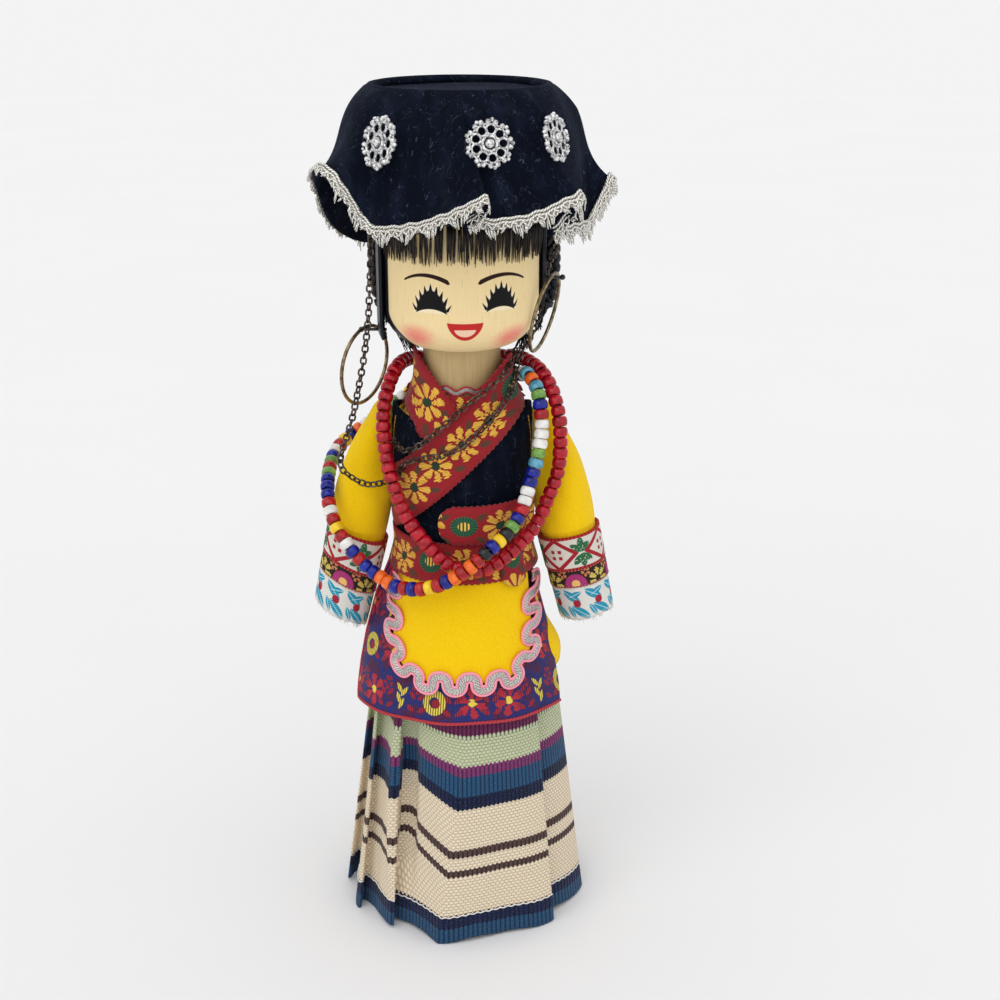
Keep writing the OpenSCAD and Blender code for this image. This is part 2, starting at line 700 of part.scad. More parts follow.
// The hair behind the face, cut shorter all round but for a lock at the left ear
module hair_shell() {
    color(hair_black)
        difference() {
            hair_arc(face_half_angle, back_sweep, lock_low, hat_seat_h, hair_in_r, hair_t);
            hair_arc(face_half_angle - 5, back_sweep - lock_angle + 5, lock_low - 1, back_low,
                hair_in_r - 1, hair_t + 2);
            ear_holes();
        }
}
fringe_t = 0.6;
module hair_fringe() {
    half = face_half_angle - 2;
    color(hair_black)
        hair_arc(-half, 2 * half, fringe_h, hat_seat_h, hair_in_r, fringe_t);
}
module braid(route) { color(hair_black) open_tube(open_curve(route, 4), braid_d / 2, 12); }
module left_braid() { braid(left_braid_route); }
module right_braid() { braid(right_braid_route); }
tie_t = 0.4;
module braid_ties() {
    for (route = [left_braid_route, right_braid_route]) {
        curve = open_curve(route, 8);
        at = floor(len(curve) * braid_tie_at);
        way = unit(curve[at + 1] - curve[at]);
        color("DarkSlateGray")
            translate(curve[at])
                rotate([0, acos(way.z), atan2(way.y, way.x)])
                    difference() {
                        cylinder(r = braid_d / 2 + layer_gap + tie_t, h = 1, center = true);
                        cylinder(r = braid_d / 2 + layer_gap, h = 2, center = true);
                    }
    }
}

// Hat
band_t = 0.8;
top_disc_t = 1.2;
top_sink = 1.6;
band_in_r = head_r + 2 * layer_gap;
top_disc_z = hat_top_z - top_sink - top_disc_t;
module hat_band() {
    color("Tan")
        translate([0, 0, hat_seat_z + layer_gap])
            difference() {
                cylinder(r = band_in_r + band_t, h = top_disc_z - hat_seat_z - 2 * layer_gap);
                translate([0, 0, -1]) cylinder(r = band_in_r, h = hat_h + 2);
            }
}
hat_levels = [0, 0.1, 0.25, 0.5, 0.75, 0.9, 1];
function hat_hem_z(angle) = hat_seat_z - hat_drop + hat_lift * lookup(angle, hat_pleats);
function hat_z(angle, t) = hat_top_z + (hat_hem_z(angle) - hat_top_z) * t;
function hat_side_r(t) = hat_top_r + (hat_hem_r - hat_top_r) * (1 - pow(1 - t, 4));
function hat_r(angle, t) = hat_side_r(t)
    + hat_flare * lookup(angle, hat_pleats) * pow(t, 5);
module hat_top() {
    sink_share = top_sink / (hat_h + hat_drop) / hat_levels[1];
    wall_r = hat_top_r + (hat_side_r(hat_levels[1]) - hat_top_r) * sink_share - hat_t;
    color(velvet_black)
        translate([0, 0, top_disc_z])
            cylinder(r = wall_r - 2 * layer_gap, h = top_disc_t);
}
module hat_crown() {
    last = len(hat_levels) - 1;
    color(velvet_black)
        wrapped_cloth(concat(
            [for (i = [last : -1 : 0]) let (t = hat_levels[i])
                [for (a = turn_angles()) round_point(hat_r(a, t), a, hat_z(a, t))]],
            [for (t = hat_levels)
                [for (a = turn_angles()) round_point(hat_r(a, t) - hat_t, a, hat_z(a, t))]]));
}
lace_t = 0.5;
lace_hang = 2.2;
module hat_lace() {
    lace_in = 2 * layer_gap;
    color(silver)
        wrapped_cloth([for (corner = [[-lace_hang, lace_in], [-lace_hang, lace_in + lace_t],
            [lace_w - lace_hang, lace_in + lace_t], [lace_w - lace_hang, lace_in]])
            [for (a = turn_angles())
                round_point(hat_r(a, 1) + corner[1], a, hat_hem_z(a) + corner[0])]]);
}

// Rosettes of silver balls on the front of the hat
rosette_angles = [-40, 15, 52];
rosette_h = 17;
rosette_tilt = 14;
rosette_balls = 10;
module rosette() {
    ball_r = rosette_d / 12;
    ring_r = rosette_d / 2 - ball_r;
    cylinder(r = ring_r - ball_r / 2, h = ball_r);
    for (k = [0 : rosette_balls - 1])
        rotate([0, 0, k * 360 / rosette_balls])
            translate([ring_r, 0, ball_r]) sphere(ball_r);
    for (k = [0 : rosette_balls / 2])
        rotate([0, 0, k * 360 / (rosette_balls / 2 + 1)])
            translate([ring_r / 2, 0, ball_r]) sphere(ball_r);
    translate([0, 0, ball_r]) sphere(1.5 * ball_r);
}
function crown_r(angle, z) = hat_r(angle, (hat_top_z - z) / (hat_top_z - hat_hem_z(angle)));
module hat_rosettes() {
    z = hat_seat_z + rosette_h;
    color(silver)
        for (a = rosette_angles) {
            seat_r = max([for (near = [-8, -4, 0, 4, 8]) crown_r(a + near, z)]) + 4 * layer_gap;
            translate(round_point(seat_r, a, z))
                rotate([90 - rosette_tilt, 0, a])
                    rosette();
        }
}

// Ear pins and hoops
hoop_gap = 0.06;
ear_pin_in_x = 13.6;
left_pin_in_x = 16.2;
ear_pin_end = 3.9;
ear_knob_r = 1;
ear_knob_t = 0.7;
module ear_holes() {
    translate([-left_pin_in_x + 1, 0, head_z + left_pin_h])
        rotate([0, -90, 0]) cylinder(r = ear_pin_r + run_gap, h = hair_out_r);
    translate([ear_pin_in_x - layer_gap, 0, head_z + right_pin_h])
        rotate([0, 90, 0]) cylinder(r = ear_pin_r + run_gap, h = hair_out_r);
}
module ear_pin(side, in_x, h) {
    color(hair_black)
        translate([0, 0, head_z + h])
            rotate([0, side * 90, 0]) {
                translate([0, 0, in_x]) cylinder(r = ear_pin_r, h = hair_out_r + ear_pin_end - in_x);
                translate([0, 0, hair_out_r + ear_pin_end]) cylinder(r = ear_knob_r, h = ear_knob_t);
            }
}
module left_ear_pin() { ear_pin(-1, left_pin_in_x, left_pin_h); }
module right_ear_pin() { ear_pin(1, ear_pin_in_x, right_pin_h); }

// Lean, turn and distance from the hair of the left hoop and the right one
hoop_lean = [6, 13];
hoop_turn = [-30, -18];
hoop_out = [2.9, -0.3];
module hoop(side, pin_h, lean, turn, out) {
    top_z = head_z + pin_h + ear_pin_r + hoop_gap + hoop_wire_d / 2;
    color("DarkGoldenrod")
        translate([side * (hair_out_r + out), 0, top_z - hoop_r * cos(lean)])
            rotate([0, 0, turn])
                rotate([0, 90 + lean, 0])
                    rotate_extrude() translate([hoop_r, 0]) circle(d = hoop_wire_d, $fn = 32);
}
module left_earring() { hoop(-1, left_pin_h, hoop_lean[0], hoop_turn[0], hoop_out[0]); }
module right_earring() { hoop(1, right_pin_h, hoop_lean[1], hoop_turn[1], hoop_out[1]); }

// Arms: a stuffed felt sleeve on the shoulder pin, with three ribbon cuffs
sleeve_top = 3.5;
cuff_t = 0.7;
cuff_gap = 0.15;
cuff_flare = 0.3;
cuff_shares = [0.39, 0.21, 0.4];
arm_end_in = 1.4;
// Each ring: depth below the pin, half width, half depth and shift towards the body
sleeve_rings = [
    [-sleeve_top, 0.9, 1.6, 1.2], [-2, 2, 3.3, 1.2], [1, 2.8, 4.4, 0.9], [5, 4, 5.2, 0.4],
    [10, 5.2, 5.8, 0], [16, sleeve_r - 0.1, sleeve_r - 0.1, 0], [21, sleeve_r, sleeve_r, 0],
    [arm_l - cuff_l - 0.6, wrist_r + 0.1, wrist_r + 0.1, 0], [arm_l - cuff_l, wrist_r, wrist_r, 0],
    [arm_l - arm_end_in, wrist_r, wrist_r, 0]
];
sleeve_sides = 24;
module arm_frame(side) {
    translate([side * arm_x, 0, pin_z])
        rotate([0, -side * arm_lean, 0])
            children();
}
module sleeve(side) {
    rows = len(sleeve_rings);
    points = [for (ring = sleeve_rings, k = [0 : sleeve_sides - 1]) let (turn = k * 360 / sleeve_sides)
        [ring[1] * cos(turn) - side * ring[3], ring[2] * sin(turn), -ring[0]]];
    color(felt_yellow)
        difference() {
            arm_frame(side)
                polyhedron(points = points, faces = concat(
                    [for (f = grid_faces(rows, sleeve_sides, false)) [f[2], f[1], f[0]]],
                    [for (f = end_faces(rows, sleeve_sides)) [f[2], f[1], f[0]]]));
            translate([side * (arm_x - sleeve_r), 0, pin_z])
                rotate([0, side * 90, 0])
                    cylinder(r = shoulder_pin_r + run_gap, h = sleeve_r + 1);
        }
}
function cuff_start(k) = cuff_l * (k == 0 ? 0 : k == 1 ? cuff_shares[0] : cuff_shares[0] + cuff_shares[1]);
module cuff(side, k) {
    in_r = wrist_r + cuff_gap;
    high = arm_l - cuff_l + cuff_start(k) + (k == 0 ? 0 : layer_gap);
    low = arm_l - cuff_l + cuff_start(k) + cuff_l * cuff_shares[k];
    top_r = in_r + cuff_t + 0.1 * k;
    arm_frame(side)
        rotate_extrude()
            polygon([[in_r, -high], [in_r, -low], [top_r + cuff_flare, -low], [top_r, -high]]);
}
module left_sleeve() { sleeve(-1); }
module right_sleeve() { sleeve(1); }
module left_upper_cuff() { color("Gainsboro") cuff(-1, 0); }
module left_middle_cuff() { color("DarkSlateGray") cuff(-1, 1); }
module left_lower_cuff() { color("MediumTurquoise") cuff(-1, 2); }
module right_upper_cuff() { color("Gainsboro") cuff(1, 0); }
module right_middle_cuff() { color("DarkSlateGray") cuff(1, 1); }
module right_lower_cuff() { color("MediumTurquoise") cuff(1, 2); }

body_peg();
skirt();
tunic();
bodice();
under_lapel();
over_lapel();
collar_back();
collar_trim();
belt();
belt_front();
belt_tab();
apron_border();
apron_panel();
apron_wave_trim();
red_beads();
red_bead_thread();
mixed_blue_beads();
mixed_red_beads();
mixed_white_beads();
mixed_orange_beads();
mixed_yellow_beads();
mixed_green_beads();
mixed_turquoise_beads();
mixed_black_beads();
mixed_bead_thread();
lower_chest_chain();
upper_chest_chain();
left_shoulder_pin();
right_shoulder_pin();
head_block();
hair_shell();
hair_fringe();
left_braid();
right_braid();
braid_ties();
hat_crown();
hat_top();
hat_band();
hat_lace();
hat_rosettes();
left_ear_pin();
right_ear_pin();
left_drop_chain();
right_drop_chain();
left_earring();
right_earring();
left_sleeve();
left_upper_cuff();
left_middle_cuff();
left_lower_cuff();
right_sleeve();
right_upper_cuff();
right_middle_cuff();
right_lower_cuff();
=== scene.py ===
import bpy
import functools
import math
import random
import numpy as np
from mathutils import Matrix, Vector


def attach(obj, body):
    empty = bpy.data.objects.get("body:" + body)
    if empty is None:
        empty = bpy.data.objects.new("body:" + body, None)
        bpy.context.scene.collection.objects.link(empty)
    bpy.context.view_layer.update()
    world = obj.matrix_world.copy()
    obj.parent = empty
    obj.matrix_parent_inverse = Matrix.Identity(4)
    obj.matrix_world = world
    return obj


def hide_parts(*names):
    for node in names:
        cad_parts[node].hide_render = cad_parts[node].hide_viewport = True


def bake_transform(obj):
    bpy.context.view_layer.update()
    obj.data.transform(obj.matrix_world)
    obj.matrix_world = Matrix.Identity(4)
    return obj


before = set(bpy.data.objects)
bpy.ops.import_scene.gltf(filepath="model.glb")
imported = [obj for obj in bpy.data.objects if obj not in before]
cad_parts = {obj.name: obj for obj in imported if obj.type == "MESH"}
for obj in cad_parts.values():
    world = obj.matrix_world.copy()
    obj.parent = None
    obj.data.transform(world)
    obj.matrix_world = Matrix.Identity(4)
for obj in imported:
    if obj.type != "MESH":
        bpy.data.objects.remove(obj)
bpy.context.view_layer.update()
mm = 0.001
dice = random.Random(11)


# Small tools for shapes, all in millimetres

def between(x, table):
    """Value at x on straight lines between the table's points."""
    return np.interp(x, [p[0] for p in table], [p[1] for p in table])


def soft_between(x, table, reach):
    """The same, with its corners rounded over the reach."""
    shifts = np.linspace(-reach, reach, 9)
    return np.mean([between(np.asarray(x) + s, table) for s in shifts], axis=0)


def together(*values):
    """One grid of points from the grids of their coordinates."""
    return np.stack(np.broadcast_arrays(*values), axis=-1)


def on_round(r, angle, z):
    """Point at an angle from the front, positive to the right."""
    a = np.radians(angle)
    return together(r * np.sin(a), -r * np.cos(a), z)


def smooth_line(points, cuts, closed=False):
    """Smooth curve through the points, with that many steps between two of them."""
    pts = np.asarray(points, float)
    n = len(pts)
    line = []
    for i in range(n if closed else n - 1):
        if closed:
            a, b, c, d = (pts[(i + k) % n] for k in (-1, 0, 1, 2))
        else:
            a, b, c, d = (pts[min(max(i + k, 0), n - 1)] for k in (-1, 0, 1, 2))
        for j in range(cuts):
            t = j / cuts
            line.append(0.5 * (2 * b + (c - a) * t + (2 * a - 5 * b + 4 * c - d) * t * t
                               + (3 * b - a - 3 * c + d) * t ** 3))
    if not closed:
        line.append(pts[-1])
    return np.array(line)


def run_of(line):
    """Distance along a line at each of its points."""
    return np.concatenate([[0], np.cumsum(np.linalg.norm(np.diff(line, axis=0), axis=1))])


def place_on(line, runs, s):
    """Points at the distances s along a line."""
    return np.stack([np.interp(s, runs, values) for values in line.T], axis=-1)


def even_line(line, step, closed=False):
    """The line cut again at even steps."""
    loop = np.vstack([line, line[:1]]) if closed else line
    runs = run_of(loop)
    count = max(int(round(runs[-1] / step)), 2)
    at = np.linspace(0, runs[-1], count + 1)
    return place_on(loop, runs, at[:-1] if closed else at)


def frames_along(line, closed=False, first=(0.3, 0.2, 1)):
    """Directions along the line and two across it, carried along without twist."""
    pts = np.asarray(line, float)
    n = len(pts)
    ahead = np.roll(pts, -1, 0) - np.roll(pts, 1, 0) if closed else np.gradient(pts, axis=0)
    along = ahead / np.linalg.norm(ahead, axis=1)[:, None]
    side = np.zeros_like(pts)
    v = np.asarray(first, float)
    for i in range(n):
        v = v - along[i] * (v @ along[i])
        v = v / np.linalg.norm(v)
        side[i] = v
    return along, side, np.cross(along, side)


# Small tools for meshes

def select_none():
    bpy.ops.object.select_all(action="DESELECT")


def select_only(obj):
    select_none()
    obj.select_set(True)
    bpy.context.view_layer.objects.active = obj


def apply_modifier(obj, kind, **values):
    select_only(obj)
    modifier = obj.modifiers.new(kind.title(), kind)
    for key, value in values.items():
        setattr(modifier, key, value)
    bpy.ops.object.modifier_apply(modifier=modifier.name)


class Stock:
    """Collects faces with their own places on the cloth, to make one mesh of them."""

    def __init__(self):
        self.points, self.faces, self.places, self.count = [], [], [], 0

    def grid(self, points, places, round_cols=False, round_rows=False, flip=False):
        """Rows and columns of points. Round columns or rows join their end to their start."""
        rows, cols = points.shape[:2]
        self.points.append(points.reshape(-1, 3))
        spans = np.arange(rows - (not round_rows)), np.arange(cols - (not round_cols))
        i, j = (k.ravel() for k in np.meshgrid(*spans, indexing="ij"))
        i2, j2 = i + 1, j + 1
        corners = [(i, j), (i, j2), (i2, j2), (i2, j)]
        if flip:
            corners = corners[::-1]
        faces = np.stack([(a % rows) * cols + b % cols for a, b in corners], axis=1) + self.count
        self.faces.extend(faces.tolist())
        self.places.append(np.stack([places[a, b] for a, b in corners], axis=1).reshape(-1, 2))
        self.count += rows * cols

    def tube(self, line, radius, sides=6, closed=False):
        """A round cord along the line, with flat ends where it isn't closed."""
        line = np.asarray(line, float)
        _, side, up = frames_along(line, closed)
        n = len(line)
        r = np.broadcast_to(np.asarray(radius, float), (n,))
        turn = np.linspace(0, 2 * np.pi, sides, endpoint=False)
        ring = np.cos(turn)[None, :, None] * side[:, None] + np.sin(turn)[None, :, None] * up[:, None]
        points = line[:, None] + ring * r[:, None, None]
        runs = run_of(np.vstack([line, line[:1]]) if closed else line)
        places = together(runs[:, None], np.linspace(0, 1, sides + 1)[None])
        self.grid(points, places, round_cols=True, round_rows=closed)
        if not closed:
            self.caps(n, sides)

    def caps(self, rows, cols, flip=False):
        """Flat faces over the first and the last row of the grid that was added last."""
        for start, back in ((self.count - rows * cols, not flip), (self.count - cols, flip)):
            ring = list(range(start, start + cols))
            self.faces.append(ring[::-1] if back else ring)
        self.places.append(np.zeros((2 * cols, 2)))

    def mesh(self, points, faces):
        """A ready mesh, such as a copy of a shape that repeats."""
        self.points.append(np.asarray(points, float))
        for face in faces:
            self.faces.append([k + self.count for k in face])
        self.places.append(np.zeros((sum(len(f) for f in faces), 2)))
        self.count += len(points)

    def make(self, name):
        """The mesh as a smooth-shaded object."""
        data = bpy.data.meshes.new(name)
        data.from_pydata((np.vstack(self.points) * mm).tolist(), [], self.faces)
        layer = data.uv_layers.new(name="cloth")
        layer.data.foreach_set("uv", np.vstack(self.places).astype(np.float32).ravel())
        data.update()
        obj = bpy.data.objects.new(name, data)
        bpy.context.collection.objects.link(obj)
        data.polygons.foreach_set("use_smooth", [True] * len(data.polygons))
        return obj


def cloth(name, points, places, thick, round_cols=False):
    """A sheet whose outer side is the grid, with the thickness laid inwards."""
    stock = Stock()
    stock.grid(points, places, round_cols=round_cols)
    obj = stock.make(name)
    apply_modifier(obj, "SOLIDIFY", thickness=thick * mm, offset=-1.0, use_rim=True,
                   use_quality_normals=True)
    return obj


def add_ring(ring, wire, around, across):
    """A plain ring of wire with its number of segments round it and round the wire."""
    select_none()
    bpy.ops.mesh.primitive_torus_add(major_segments=around, minor_segments=across,
                                     major_radius=ring * mm, minor_radius=wire * mm)
    return bpy.context.object


def add_ball(radius, around, rings):
    select_none()
    bpy.ops.mesh.primitive_uv_sphere_add(segments=around, ring_count=rings, radius=radius * mm)
    return bpy.context.object


def shape_of(obj):
    """Points in millimetres and faces of an object's mesh, and then removes the object."""
    points = np.array([v.co[:] for v in obj.data.vertices]) / mm
    faces = [list(p.vertices) for p in obj.data.polygons]
    bpy.data.objects.remove(obj, do_unlink=True)
    return points, faces


def dress(obj, body, material, nodes=(), slot=None):
    """Gives a piece its finish, its body and the CAD nodes that it stands for."""
    obj.data.materials.clear()
    obj.data.materials.append(material)
    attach(obj, body)
    if nodes:
        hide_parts(*nodes)
    return obj


# Small tools for finishes

def shade(red, green, blue):
    """Colour as it looks on a screen, from 0 to 255."""
    parts = [c / 255 for c in (red, green, blue)]
    return tuple(c / 12.92 if c <= 0.04045 else ((c + 0.055) / 1.055) ** 2.4 for c in parts) + (1.0,)


class Field:
    """A value that changes over a surface, with the usual sums on it."""

    def __init__(self, tree, socket):
        self.tree, self.socket = tree, socket

    def __add__(self, other):
        return sums(self.tree, "ADD", self, other)

    def __sub__(self, other):
        return sums(self.tree, "SUBTRACT", self, other)

    def __rsub__(self, other):
        return sums(self.tree, "SUBTRACT", other, self)

    def __mul__(self, other):
        return sums(self.tree, "MULTIPLY", self, other)

    def __truediv__(self, other):
        return sums(self.tree, "DIVIDE", self, other)

    def __neg__(self):
        return sums(self.tree, "MULTIPLY", self, -1.0)

    __radd__ = __add__
    __rmul__ = __mul__


def put(tree, socket, value):
    if isinstance(value, Field):
        tree.links.new(value.socket, socket)
    else:
        socket.default_value = value


def sums(tree, operation, *values):
    node = tree.nodes.new("ShaderNodeMath")
    node.operation = operation
    for socket, value in zip(node.inputs, values):
        put(tree, socket, value)
    return Field(tree, node.outputs[0])


def size_of(a):
    return sums(a.tree, "ABSOLUTE", a)


def whole(a):
    return sums(a.tree, "FLOOR", a)


def part(a):
    return sums(a.tree, "FRACT", a)


def sine(a):
    return sums(a.tree, "SINE", a)


def cosine(a):
    return sums(a.tree, "COSINE", a)


def power(a, b):
    return sums(a.tree, "POWER", a, b)


def most(a, b):
    return sums(a.tree, "MAXIMUM", a, b)


def far(a, b):
    return sums(a.tree, "SQRT", a * a + b * b)


def turn_of(y, x):
    return sums(y.tree, "ARCTAN2", y, x)


def rise(a, low, high):
    """Smooth step from 0 at low to 1 at high, or the other way round."""
    node = a.tree.nodes.new("ShaderNodeMapRange")
    node.interpolation_type = "SMOOTHSTEP"
    put(a.tree, node.inputs["Value"], a)
    put(a.tree, node.inputs["From Min"], low)
    put(a.tree, node.inputs["From Max"], high)
    return Field(a.tree, node.outputs[0])


def inside(a, edge, blur=0.08):
    """1 where a is under the edge."""
    return rise(a - edge, blur, -blur)


def mix(mask, under, over, kind="MIX"):
    tree = mask.tree
    node = tree.nodes.new("ShaderNodeMix")
    node.data_type = "RGBA"
    node.blend_type = kind
    put(tree, node.inputs[0], mask)
    put(tree, node.inputs[6], under)
    put(tree, node.inputs[7], over)
    return Field(tree, node.outputs[2])


def cloth_place(tree):
    """Distance along and across the cloth, in millimetres."""
    node = tree.nodes.new("ShaderNodeUVMap")
    node.uv_map = "cloth"
    split = tree.nodes.new("ShaderNodeSeparateXYZ")
    tree.links.new(node.outputs[0], split.inputs[0])
    return Field(tree, split.outputs[0]), Field(tree, split.outputs[1])


def body_place(tree, scale=(1000, 1000, 1000)):
    """Place on the piece, in millimetres where the scale is left as it is."""
    node = tree.nodes.new("ShaderNodeTexCoord")
    grow = tree.nodes.new("ShaderNodeMapping")
    grow.inputs["Scale"].default_value = scale
    tree.links.new(node.outputs["Object"], grow.inputs["Vector"])
    return Field(tree, grow.outputs[0])


def split_place(place):
    split = place.tree.nodes.new("ShaderNodeSeparateXYZ")
    place.tree.links.new(place.socket, split.inputs[0])
    return tuple(Field(place.tree, s) for s in split.outputs)


def join_place(x, y):
    node = x.tree.nodes.new("ShaderNodeCombineXYZ")
    for socket, value in zip(node.inputs, (x, y)):
        put(x.tree, socket, value)
    return Field(x.tree, node.outputs[0])


def speckle(place, grain, detail=3.0, rough=0.55):
    node = place.tree.nodes.new("ShaderNodeTexNoise")
    place.tree.links.new(place.socket, node.inputs["Vector"])
    node.inputs["Scale"].default_value = 1 / grain
    node.inputs["Detail"].default_value = detail
    node.inputs["Roughness"].default_value = rough
    return Field(place.tree, node.outputs[0])


def effect(name, inputs, outputs, build):
    """A node group: named inputs, and a function that gives its outputs."""
    group = bpy.data.node_groups.new(name, "ShaderNodeTree")
    for label in inputs:
        kind = "NodeSocketVector" if label == "Place" else "NodeSocketFloat"
        group.interface.new_socket(name=label, in_out="INPUT", socket_type=kind)
    for label in outputs:
        group.interface.new_socket(name=label, in_out="OUTPUT", socket_type="NodeSocketFloat")
    start, end = group.nodes.new("NodeGroupInput"), group.nodes.new("NodeGroupOutput")
    found = build(*[Field(group, s) for s in start.outputs[:len(inputs)]])
    for label, value in zip(outputs, found):
        put(group, end.inputs[label], value)
    return group


def use(group, *values):
    tree = next(v.tree for v in values if isinstance(v, Field))
    node = tree.nodes.new("ShaderNodeGroup")
    node.node_tree = group
    for socket, value in zip(node.inputs, values):
        put(tree, socket, value)
    found = [Field(tree, s) for s in node.outputs]
    return found[0] if len(found) == 1 else found


# Effects that several finishes share

def build_weave(u, v, warp, weft):
    row = whole(v / weft)
    across = part(u / warp + row * 0.5) - 0.5
    up = part(v / weft) - 0.5
    pillow = most(1 - across * across * 4, 0.0) * most(1 - up * up * 4, 0.0)
    lot = speckle(join_place(whole(u / warp + row * 0.5), row), 0.37, 0.0)
    return power(pillow, 0.5), lot


def build_fuzz(place):
    fine = speckle(place, 0.22, 4.0, 0.7)
    broad = speckle(place, 2.6, 2.0)
    return fine, broad


def build_flower(x, y, radius, petals, turn):
    """Petals of slanting stitches, each of them a little longer or shorter than the next."""
    stitch = (y + x * 0.4) / 0.34
    lot = speckle(join_place(whole(stitch) + turn * 7.0, turn), 0.37, 0.0)
    x = x + (lot - 0.5) * radius * 0.42
    reach = far(x, y)
    angle = turn_of(y, x) + turn
    wave = size_of(cosine(angle * petals * 0.5))
    outside_heart = rise(reach - radius * 0.26, -0.06, 0.1)
    petal = rise(wave, 0.42, 0.56) * inside(reach, radius * (wave * 0.3 + 0.68)) * outside_heart
    heart = inside(reach, radius * 0.24)
    # Thread is lightest along each stitch's middle and darkest at its edges, as painted shade between
    # stitches, with a random tone added.
    thread = rise(size_of(part(stitch) - 0.5), 0.5, 0.2) * 0.75 + rise(lot, 0.3, 0.7) * 0.25
    return petal, heart, thread


def build_leaf(x, y, length, width, turn):
    along = (x * cosine(turn) + y * sine(turn)) / length
    across = size_of(y * cosine(turn) - x * sine(turn))
    half = width * 0.5 * power(most(sine(along * math.pi), 0.0001), 0.7)
    leaf = inside(across, half) * rise(along, 0.0, 0.03) * rise(along, 1.0, 0.97)
    vein = inside(across, 0.1, 0.06) * leaf
    return leaf, vein


WEAVE = effect("weave", ["U", "V", "Warp", "Weft"], ["Height", "Lot"], build_weave)
FUZZ = effect("fuzz", ["Place"], ["Fine", "Broad"], build_fuzz)
FLOWER = effect("stitched_flower", ["X", "Y", "Radius", "Petals", "Turn"], ["Petal", "Heart", "Thread"],
                build_flower)
LEAF = effect("stitched_leaf", ["X", "Y", "Length", "Width", "Turn"], ["Leaf", "Vein"], build_leaf)


def finish(name, paint, rough=0.7, metal=0.0, bump=0.3, depth=0.12, sheen=0.0, sheen_rough=0.5,
           sheen_tint=(1, 1, 1, 1), coat=0.0, coat_rough=0.1, specular=0.5):
    """A material. paint(tree) gives colour, and where they change also height and rough."""
    material = bpy.data.materials.new(name)
    material.use_nodes = True
    tree = material.node_tree
    surface = tree.nodes["Principled BSDF"]
    look = paint(tree)
    put(tree, surface.inputs["Base Color"], look["colour"])
    put(tree, surface.inputs["Roughness"], look.get("rough", rough))
    surface.inputs["Metallic"].default_value = metal
    surface.inputs["Specular IOR Level"].default_value = specular
    surface.inputs["Sheen Weight"].default_value = sheen
    surface.inputs["Sheen Roughness"].default_value = sheen_rough
    surface.inputs["Sheen Tint"].default_value = sheen_tint
    surface.inputs["Coat Weight"].default_value = coat
    surface.inputs["Coat Roughness"].default_value = coat_rough
    if "height" in look:
        node = tree.nodes.new("ShaderNodeBump")
        node.inputs["Strength"].default_value = bump
        node.inputs["Distance"].default_value = depth * mm
        put(tree, node.inputs["Height"], look["height"])
        tree.links.new(node.outputs[0], surface.inputs["Normal"])
    return material


# Wood and the painted face

def paint_wood(tree, dark=(206, 174, 122), light=(226, 200, 152)):
    grain = speckle(body_place(tree, (900, 900, 60)), 0.45, 4.0, 0.6)
    broad = speckle(body_place(tree, (160, 160, 22)), 1.0, 2.0)
    pores = rise(speckle(body_place(tree, (1500, 1500, 110)), 0.5, 2.0), 0.66, 0.76)
    wood = mix(grain, shade(*dark), shade(*light))
    wood = mix(broad * 0.35, wood, shade(*dark))
    wood = mix(pores * 0.35, wood, shade(172, 136, 88))
    return {"colour": wood, "height": grain - pores * 0.6, "rough": grain * 0.12 + 0.42}


FACE_R = 16.4


def add_cheeks(tree, colour, s, z):
    for middle, high in ((-10.5, 136.6), (12.7, 136.3)):
        spread = far((s - middle) / 6.0, (z - high - (s - middle) * 0.08) / 3.3)
        brush = speckle(body_place(tree, (700, 700, 1500)), 0.8)
        patch = rise(spread, 1.1, 0.15) * (brush * 0.6 + 0.5)
        colour = mix(patch * 0.95, colour, shade(240, 112, 112))
    return colour


def add_eyes(colour, s, z):
    """Half-round eyes over a bowed lid, with a pale rim and painted lashes."""
    tall, lash_end = 4.9, 1.34
    for middle, base, half in ((-5.95, 142.0, 3.4), (8.85, 142.35, 3.3)):
        across, up = (s - middle) / half, (z - base) / tall
        reach = power(power(size_of(across), 1.5) + power(most(up, 0.0001), 2.0), 0.6)
        angle = turn_of(most(up, 0.0) + 1.0, across)
        pale = inside(reach, 1.14, 0.08) * rise(up, 0.0, 0.05)
        colour = mix(pale * 0.6, colour, shade(252, 240, 214))
        spike = size_of(part(angle * (17 / math.pi)) - 0.5)
        lash = inside(spike, (lash_end - reach) * 0.95, 0.06) * inside(reach, lash_end, 0.03)
        eye = most(inside(reach, 1.0, 0.04), lash * rise(up, 0.06, 0.12))
        under = up * tall - (1 - across * across) * 0.95
        colour = mix(eye * rise(under, -0.06, 0.08) * rise(up, -0.03, 0.01), colour, shade(12, 12, 15))
    return colour


def add_brows(colour, s, z):
    for middle, half, inner in ((-7.2, 5.35, 1.0), (9.45, 5.7, -1.0)):
        along = (s - middle) / half
        bow = z - (148.3 + (1 - along * along) * 1.5)
        thick = (along * inner * 0.15 + 0.38) * rise(size_of(along), 1.02, 0.9)
        brow = inside(size_of(bow), thick, 0.06) * rise(size_of(along), 1.02, 0.99)
        colour = mix(brow, colour, shade(40, 18, 16))
    return colour


def add_mouth(colour, s, z):
    """A red smile with a pale gap in it."""
    x = s - 1.15
    for half, down, blur, rim, tone in (
            (3.75, (140.15 - z + x * x * 0.012) / 3.8, 0.06, (-0.01, 0.03), (196, 42, 40)),
            (2.25, (138.8 - z) / 1.6, 0.1, (-0.02, 0.06), (246, 206, 178))):
        across = x / half
        bowl = inside(across * across + power(most(down, 0.0001), 1.7), 1.0, blur)
        colour = mix(bowl * rise(down, *rim), colour, shade(*tone))
    return colour


